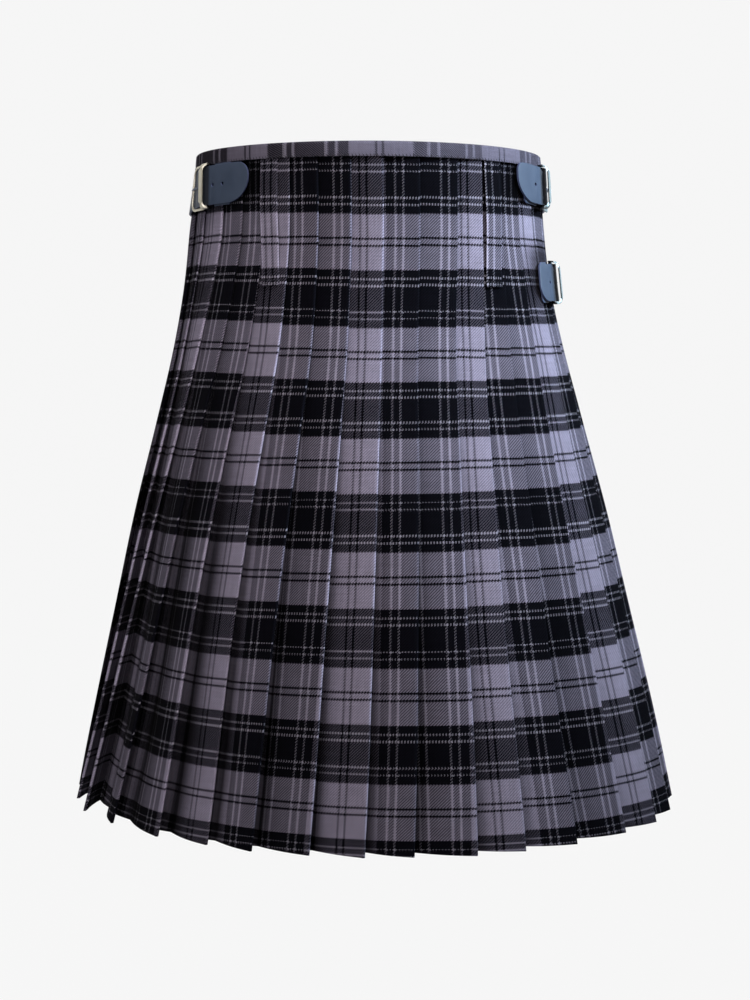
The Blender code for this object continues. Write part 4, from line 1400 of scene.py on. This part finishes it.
# %% [markdown]
# ## Buckles
#
# Each buckle is one casting: a round wire frame, with rounder corners at its front, where the
# wire is thinner, and a flat keeper that bridges over the strap at the heel bar and holds the
# tongue down. The prong is a tapered pin. It hooks round the heel bar, comes up through the
# strap and rests on the front bar. The frame starts as the outline of a plane with rounded
# corners, turned into a curve with a round section. The keeper is a block, hollowed to an arch.

# %% Frame, keeper and prong
FRONT_CORNER, HEEL_CORNER = 9.0, 6.0
KEEPER_FROM, KEEPER_TO = -6.2, 2.0
KEEPER_OUT = 13.4               # its upper face
KEEPER_THICK = 1.4
SHOULDER = 6.5                  # how round the keeper's corners are
KEEPER_EDGE = 4.5               # its edge towards the tongue is cut slanting, this far down
PRONG_PAST = 0.8                # the prong ends this far past the front bar
TIP, TAPER = 0.55, 6            # how thin its tip is, and over what length it tapers


def draw_wire(outline, half_thick, resolution, share_at, caps=False):
    """Gives an outline a round section, thinner where share_at says so."""
    select_only(outline)
    bpy.ops.object.convert(target="CURVE")
    curve = bpy.context.object.data
    curve.bevel_depth, curve.bevel_resolution, curve.use_fill_caps = half_thick, resolution, caps
    for point in curve.splines[0].points:
        point.radius = share_at(point.co.x)
    bpy.ops.object.convert(target="MESH")
    return bpy.context.object


def lay_metal(piece, place, finish, node):
    lay_on_kilt(piece, place, None)
    piece.data.materials.clear()
    piece.data.materials.append(finish)
    return own_piece(piece, "buckle_metal", node + place.name)


def round_frame(name, half):
    bpy.ops.object.select_all(action="DESELECT")
    bpy.ops.mesh.primitive_plane_add(size=1, location=(BUCKLE_LENGTH / 2, 0, 0))
    frame_wire = bpy.context.object
    frame_wire.name = name
    frame_wire.scale = (BUCKLE_LENGTH, 2 * half, 1)
    bpy.ops.object.transform_apply(location=True, rotation=True, scale=True)
    for end, radius, steps in ((BUCKLE_LENGTH, FRONT_CORNER, 10), (0, HEEL_CORNER, 7)):
        work_on(frame_wire, "VERT", lambda point: abs(point.co.x - end) < NEAR,
                bpy.ops.mesh.bevel, offset=radius, segments=steps, affect="VERTICES")
    work_on(frame_wire, "VERT", lambda point: True, bpy.ops.mesh.delete, type="ONLY_FACE")
    for point in frame_wire.data.vertices:
        point.co.z = HEEL_OUT + (FRONT_OUT - HEEL_OUT) * point.co.x / BUCKLE_LENGTH
    return draw_wire(frame_wire, WIRE, 5,
                     lambda along: 1 + (FRONT_WIRE / WIRE - 1) * along / BUCKLE_LENGTH)


def arch_block(name, start, end, half, top, corner):
    """A block from the heel bar's height up to a top with two round shoulders."""
    block = flat_bar(name, start, end, half, top - HEEL_OUT + 1, (top + HEEL_OUT - 1) / 2)
    select_only(block)
    bpy.ops.object.mode_set(mode="EDIT")
    bpy.ops.mesh.select_all(action="DESELECT")
    bpy.ops.object.mode_set(mode="OBJECT")
    # A known fault: the edges are marked before the select mode is set. On the keeper's outer
    # block the mode is still points then, so the bevel takes all four upper edges and the block
    # overlaps itself. Setting the mode first mends it, and changes the keeper's form a little.
    for edge in block.data.edges:
        a, b = (block.data.vertices[v].co for v in edge.vertices)
        edge.select = min(a.z, b.z) > top - NEAR and abs(a.y - b.y) < NEAR
    bpy.ops.object.mode_set(mode="EDIT")
    bpy.ops.mesh.select_mode(type="EDGE")
    bpy.ops.mesh.bevel(offset=corner, segments=8, affect="EDGES")
    bpy.ops.object.mode_set(mode="OBJECT")
    return block


def keeper(half):
    """An arch over the strap, from one end of the heel bar to the other."""
    arch = arch_block("keeper", KEEPER_FROM, KEEPER_TO, half, KEEPER_OUT, SHOULDER)
    select_only(arch)
    bpy.ops.object.mode_set(mode="EDIT")
    bpy.ops.mesh.select_all(action="SELECT")
    bpy.ops.mesh.bisect(plane_co=(KEEPER_FROM, 0, KEEPER_OUT - KEEPER_EDGE),
                        plane_no=(-0.78, 0, -0.62), clear_outer=True, use_fill=True)
    bpy.ops.object.mode_set(mode="OBJECT")
    inside = arch_block("keeper_inside", KEEPER_FROM - 2, KEEPER_TO + 2, half - KEEPER_THICK,
                        KEEPER_OUT - KEEPER_THICK, SHOULDER - KEEPER_THICK)
    join_with(arch, inside, "DIFFERENCE")
    soften_edges(arch, 0.35)
    return arch


def buckle_frame(place):
    half = place.half + LOOSE + WIRE
    buckle = round_frame("buckle_metal_" + place.name, half)
    join_with(buckle, keeper(half + WIRE - 0.3), "UNION")
    spots = np.array([v.co for v in buckle.data.vertices])
    mark_points(buckle.data, "dirty", np.clip((5 - spots[:, 0]) / 3, 0, 1)
                * np.clip((9 - spots[:, 2]) / 3, 0, 1))     # painted shade on the corners by the heel bar
    # the left buckle takes the copy painted light and warm, the others the one painted darker and
    # cool
    finish = NICKEL_PAINTED_WARM_LIGHT if place.name == "left" else NICKEL_PAINTED_COOL_DIM
    return lay_metal(buckle, place, finish, "buckle_")


def prong(place):
    line = round_bar(PRONG_HOOK, (195, 170, 145, 120, 95, 75))
    rest = FRONT_OUT + FRONT_WIRE + TIP * PRONG + 0.05
    line += [(6, 6.6), (12, 7.0), (18, 6.7), (25, 6.0), (BUCKLE_LENGTH, rest),
             (BUCKLE_LENGTH + PRONG_PAST, rest - 0.3)]
    bpy.ops.object.select_all(action="DESELECT")
    bpy.ops.mesh.primitive_circle_add(vertices=len(line), radius=1)
    pin = bpy.context.object
    pin.name = "prong_metal_" + place.name
    work_on(pin, "EDGE", lambda edge: set(edge.vertices) == {0, len(line) - 1},
            bpy.ops.mesh.delete, type="EDGE")
    for point, (along, out) in zip(pin.data.vertices, line):
        point.co = (along, 0, out)
    pin = draw_wire(pin, PRONG, 4, caps=True, share_at=lambda along: TIP + (1 - TIP) * min(
        abs(along - line[-1][0]) / TAPER, 1))
    return lay_metal(pin, place, PIN_PAINTED_DARK, "prong_")


buckles = [buckle_frame(place) for place in FASTENINGS]
prongs = [prong(place) for place in FASTENINGS]
for piece in buckles + prongs:
    print("%-22s %5d points" % (piece.name, len(piece.data.vertices)))

# %% [markdown]
# ## Stitches
#
# The kilt is sewn by hand with black thread. Slanting stitches hold the waistband's edges, two
# short rows hold each belt loop, and saddle stitches hold the leather. One stitch is modelled,
# a small ball drawn out to a grain, and then copied to every place.

# %% One stitch, copied
STITCH_LONG, STITCH_WIDE, STITCH_HIGH = 2.2, 0.75, 0.5      # mm
STITCH_APART = 3.2              # mm, in the loops and the leather
UNEVEN = 7                      # degrees by which a hand-sewn stitch may lean

bpy.ops.object.select_all(action="DESELECT")
bpy.ops.mesh.primitive_uv_sphere_add(segments=8, ring_count=6, radius=0.5)
one_stitch = bpy.context.object
STITCH_POINTS = np.array([v.co for v in one_stitch.data.vertices])
STITCH_FACES = [tuple(p.vertices) for p in one_stitch.data.polygons]
bpy.data.objects.remove(one_stitch)


def sew(name, spots, slot):
    """Sews a stitch at each (around, out, down, slant in degrees, length), in mm."""
    points, faces = [], []
    for n, (around, out, down, slant, length) in enumerate(spots):
        turn = math.radians(slant + UNEVEN * math.sin(2.3 * n))
        a = STITCH_POINTS[:, 0] * length
        b = STITCH_POINTS[:, 1] * STITCH_WIDE
        points.append(on_kilt((around + a * math.cos(turn) - b * math.sin(turn)) * MM,
                              (out + STITCH_POINTS[:, 2] * STITCH_HIGH) * MM,
                              (down + a * math.sin(turn) + b * math.cos(turn)) * MM))
        faces += [tuple(v + n * len(STITCH_POINTS) for v in face) for face in STITCH_FACES]
    mesh = bpy.data.meshes.new(name)
    mesh.from_pydata(np.concatenate(points).tolist(), [], faces)
    rows = bpy.data.objects.new(name, mesh)
    bpy.context.scene.collection.objects.link(rows)
    mesh.materials.append(THREAD_BLACK)
    face_outwards(rows)
    bpy.ops.object.shade_smooth()
    print("%-24s %4d stitches" % (name, len(spots)))
    return own_piece(rows, slot)


# %% Sewing the waistband and the loops
BAND_STITCH = 3.1               # mm from one stitch to the next
over_start = float(past_front(OVER_FREE_EDGE.waist, 0)) / MM
band_row = [(around, (BAND_OUT + CLOTH) / MM + 0.1, BAND_DOWN / MM - 0.7, 64, STITCH_LONG + 1)
            for around in np.arange(over_start + 1, PLEATS[-1].waist, BAND_STITCH)]
sew("waistband_stitches", band_row, "waistband_tartan")
loop_rows = []
for side, middle in LOOP_AROUND.items():
    for down in (LOOP_BOTTOM / MM - 1.6, LOOP_BOTTOM / MM - 4.4):
        for across in np.arange(-6.4, 6.5, STITCH_APART):
            around = (middle + loop_lean(side, 1)) / MM + across
            loop_rows.append((around, (SEAM + CLOTH) / MM + 0.05, down, 0, 2.4))
sew("belt_loop_stitches", loop_rows, "tartan")

# %% Sewing the leather
def leather_rows(place):
    """A box of saddle stitches on the strap's root, and a row across the tab's end."""
    root_out = LEATHER_GAP + STRAP_THICK
    if place.name == "left":
        root_out += UNDER_OUT / MM + LOOSE - LEATHER_GAP
    inset = place.half - 2.6
    tab_half = place.half + TAB_WIDER
    spots = []
    for along in np.arange(place.root_start + 3, place.root_end - 2, STITCH_APART):
        for across in (-inset, inset):
            spots.append((along, root_out, across, 0))
    for across in np.arange(-inset + STITCH_APART, inset - 1, STITCH_APART):
        for along in (place.root_start + 3, place.root_end - 2.6):
            spots.append((along, root_out, across, 90))
    for across in np.arange(-tab_half + 2.4, tab_half - 2, STITCH_APART):
        spots.append((-place.tab + 2.4, LEATHER_GAP + TAB_THICK, across, 90))
    return [(place.heel + place.side * along, out, place.down + place.slope * along + across,
             slant, STITCH_LONG)
            for along, out, across, slant in spots]


for place in FASTENINGS:
    sew("strap_stitches_" + place.name, leather_rows(place), "black_leather")

# %% [markdown]
# ## The cloth in the fell
#
# The back loses cloth in the fell, where the maker cuts the bulk out from behind the pleats.

# %% The sheets of cloth
print("the cloth is in 7 sheets")

# %% [markdown]
# ## The white room
#
# The kilt hangs above a plain pale floor that curves up into a wall a long way behind, so that
# there is no line between them.

# %% Floor and wall
FLOOR = -1.02               # m, below the waist
FLOOR_NEAR, FLOOR_FAR, FLOOR_WIDE = -4, 3.2, 16
WALL_CURVE, WALL_HIGH = 1.5, 4
GLOW_FROM, GLOW_TO = 0.05, 0.60     # the floor turns into a lit backdrop behind the kilt
bpy.ops.mesh.primitive_plane_add(size=1, location=(0, 0, 0))
floor = bpy.context.object
floor.name = "pale_floor"
for corner in floor.data.vertices:
    corner.co = (corner.co.x * FLOOR_WIDE, FLOOR_NEAR if corner.co.y < 0 else FLOOR_FAR, FLOOR)


def far_edge(line):
    return all(floor.data.vertices[v].co.y > FLOOR_FAR - NEAR for v in line.vertices)


def sweep_up():
    bpy.ops.mesh.spin(steps=24, angle=math.radians(-90), axis=(1, 0, 0),
                      center=(0, FLOOR_FAR, FLOOR + WALL_CURVE))
    bpy.ops.mesh.extrude_region_move(TRANSFORM_OT_translate={"value": (0, 0, WALL_HIGH)})


work_on(floor, "EDGE", far_edge, sweep_up)
bpy.ops.object.shade_smooth()
paint = Shader("pale_paint")
spot = paint.add("ShaderNodeTexCoord", output=3)
behind = paint.add("ShaderNodeMapRange", {0: paint.green(spot), 1: GLOW_FROM, 2: GLOW_TO},
                   interpolation_type="SMOOTHSTEP")
near = paint.mix(paint.noise(spot, 3.0, 2.0), (0.28, 0.28, 0.285, 1), (0.30, 0.30, 0.305, 1))
shade = paint.mix(behind, near, (0.012, 0.012, 0.012, 1))
glow = paint.mix(behind, (0, 0, 0, 1), (0.915, 0.915, 0.915, 1))
floor.data.materials.append(paint.finish(Base_Color=shade, Roughness=0.95, Emission_Color=glow,
                                         Emission_Strength=1.0, Specular_IOR_Level=0.0))
print("floor", FLOOR, "m below the waist; wall top", max(v.co.z for v in floor.data.vertices))
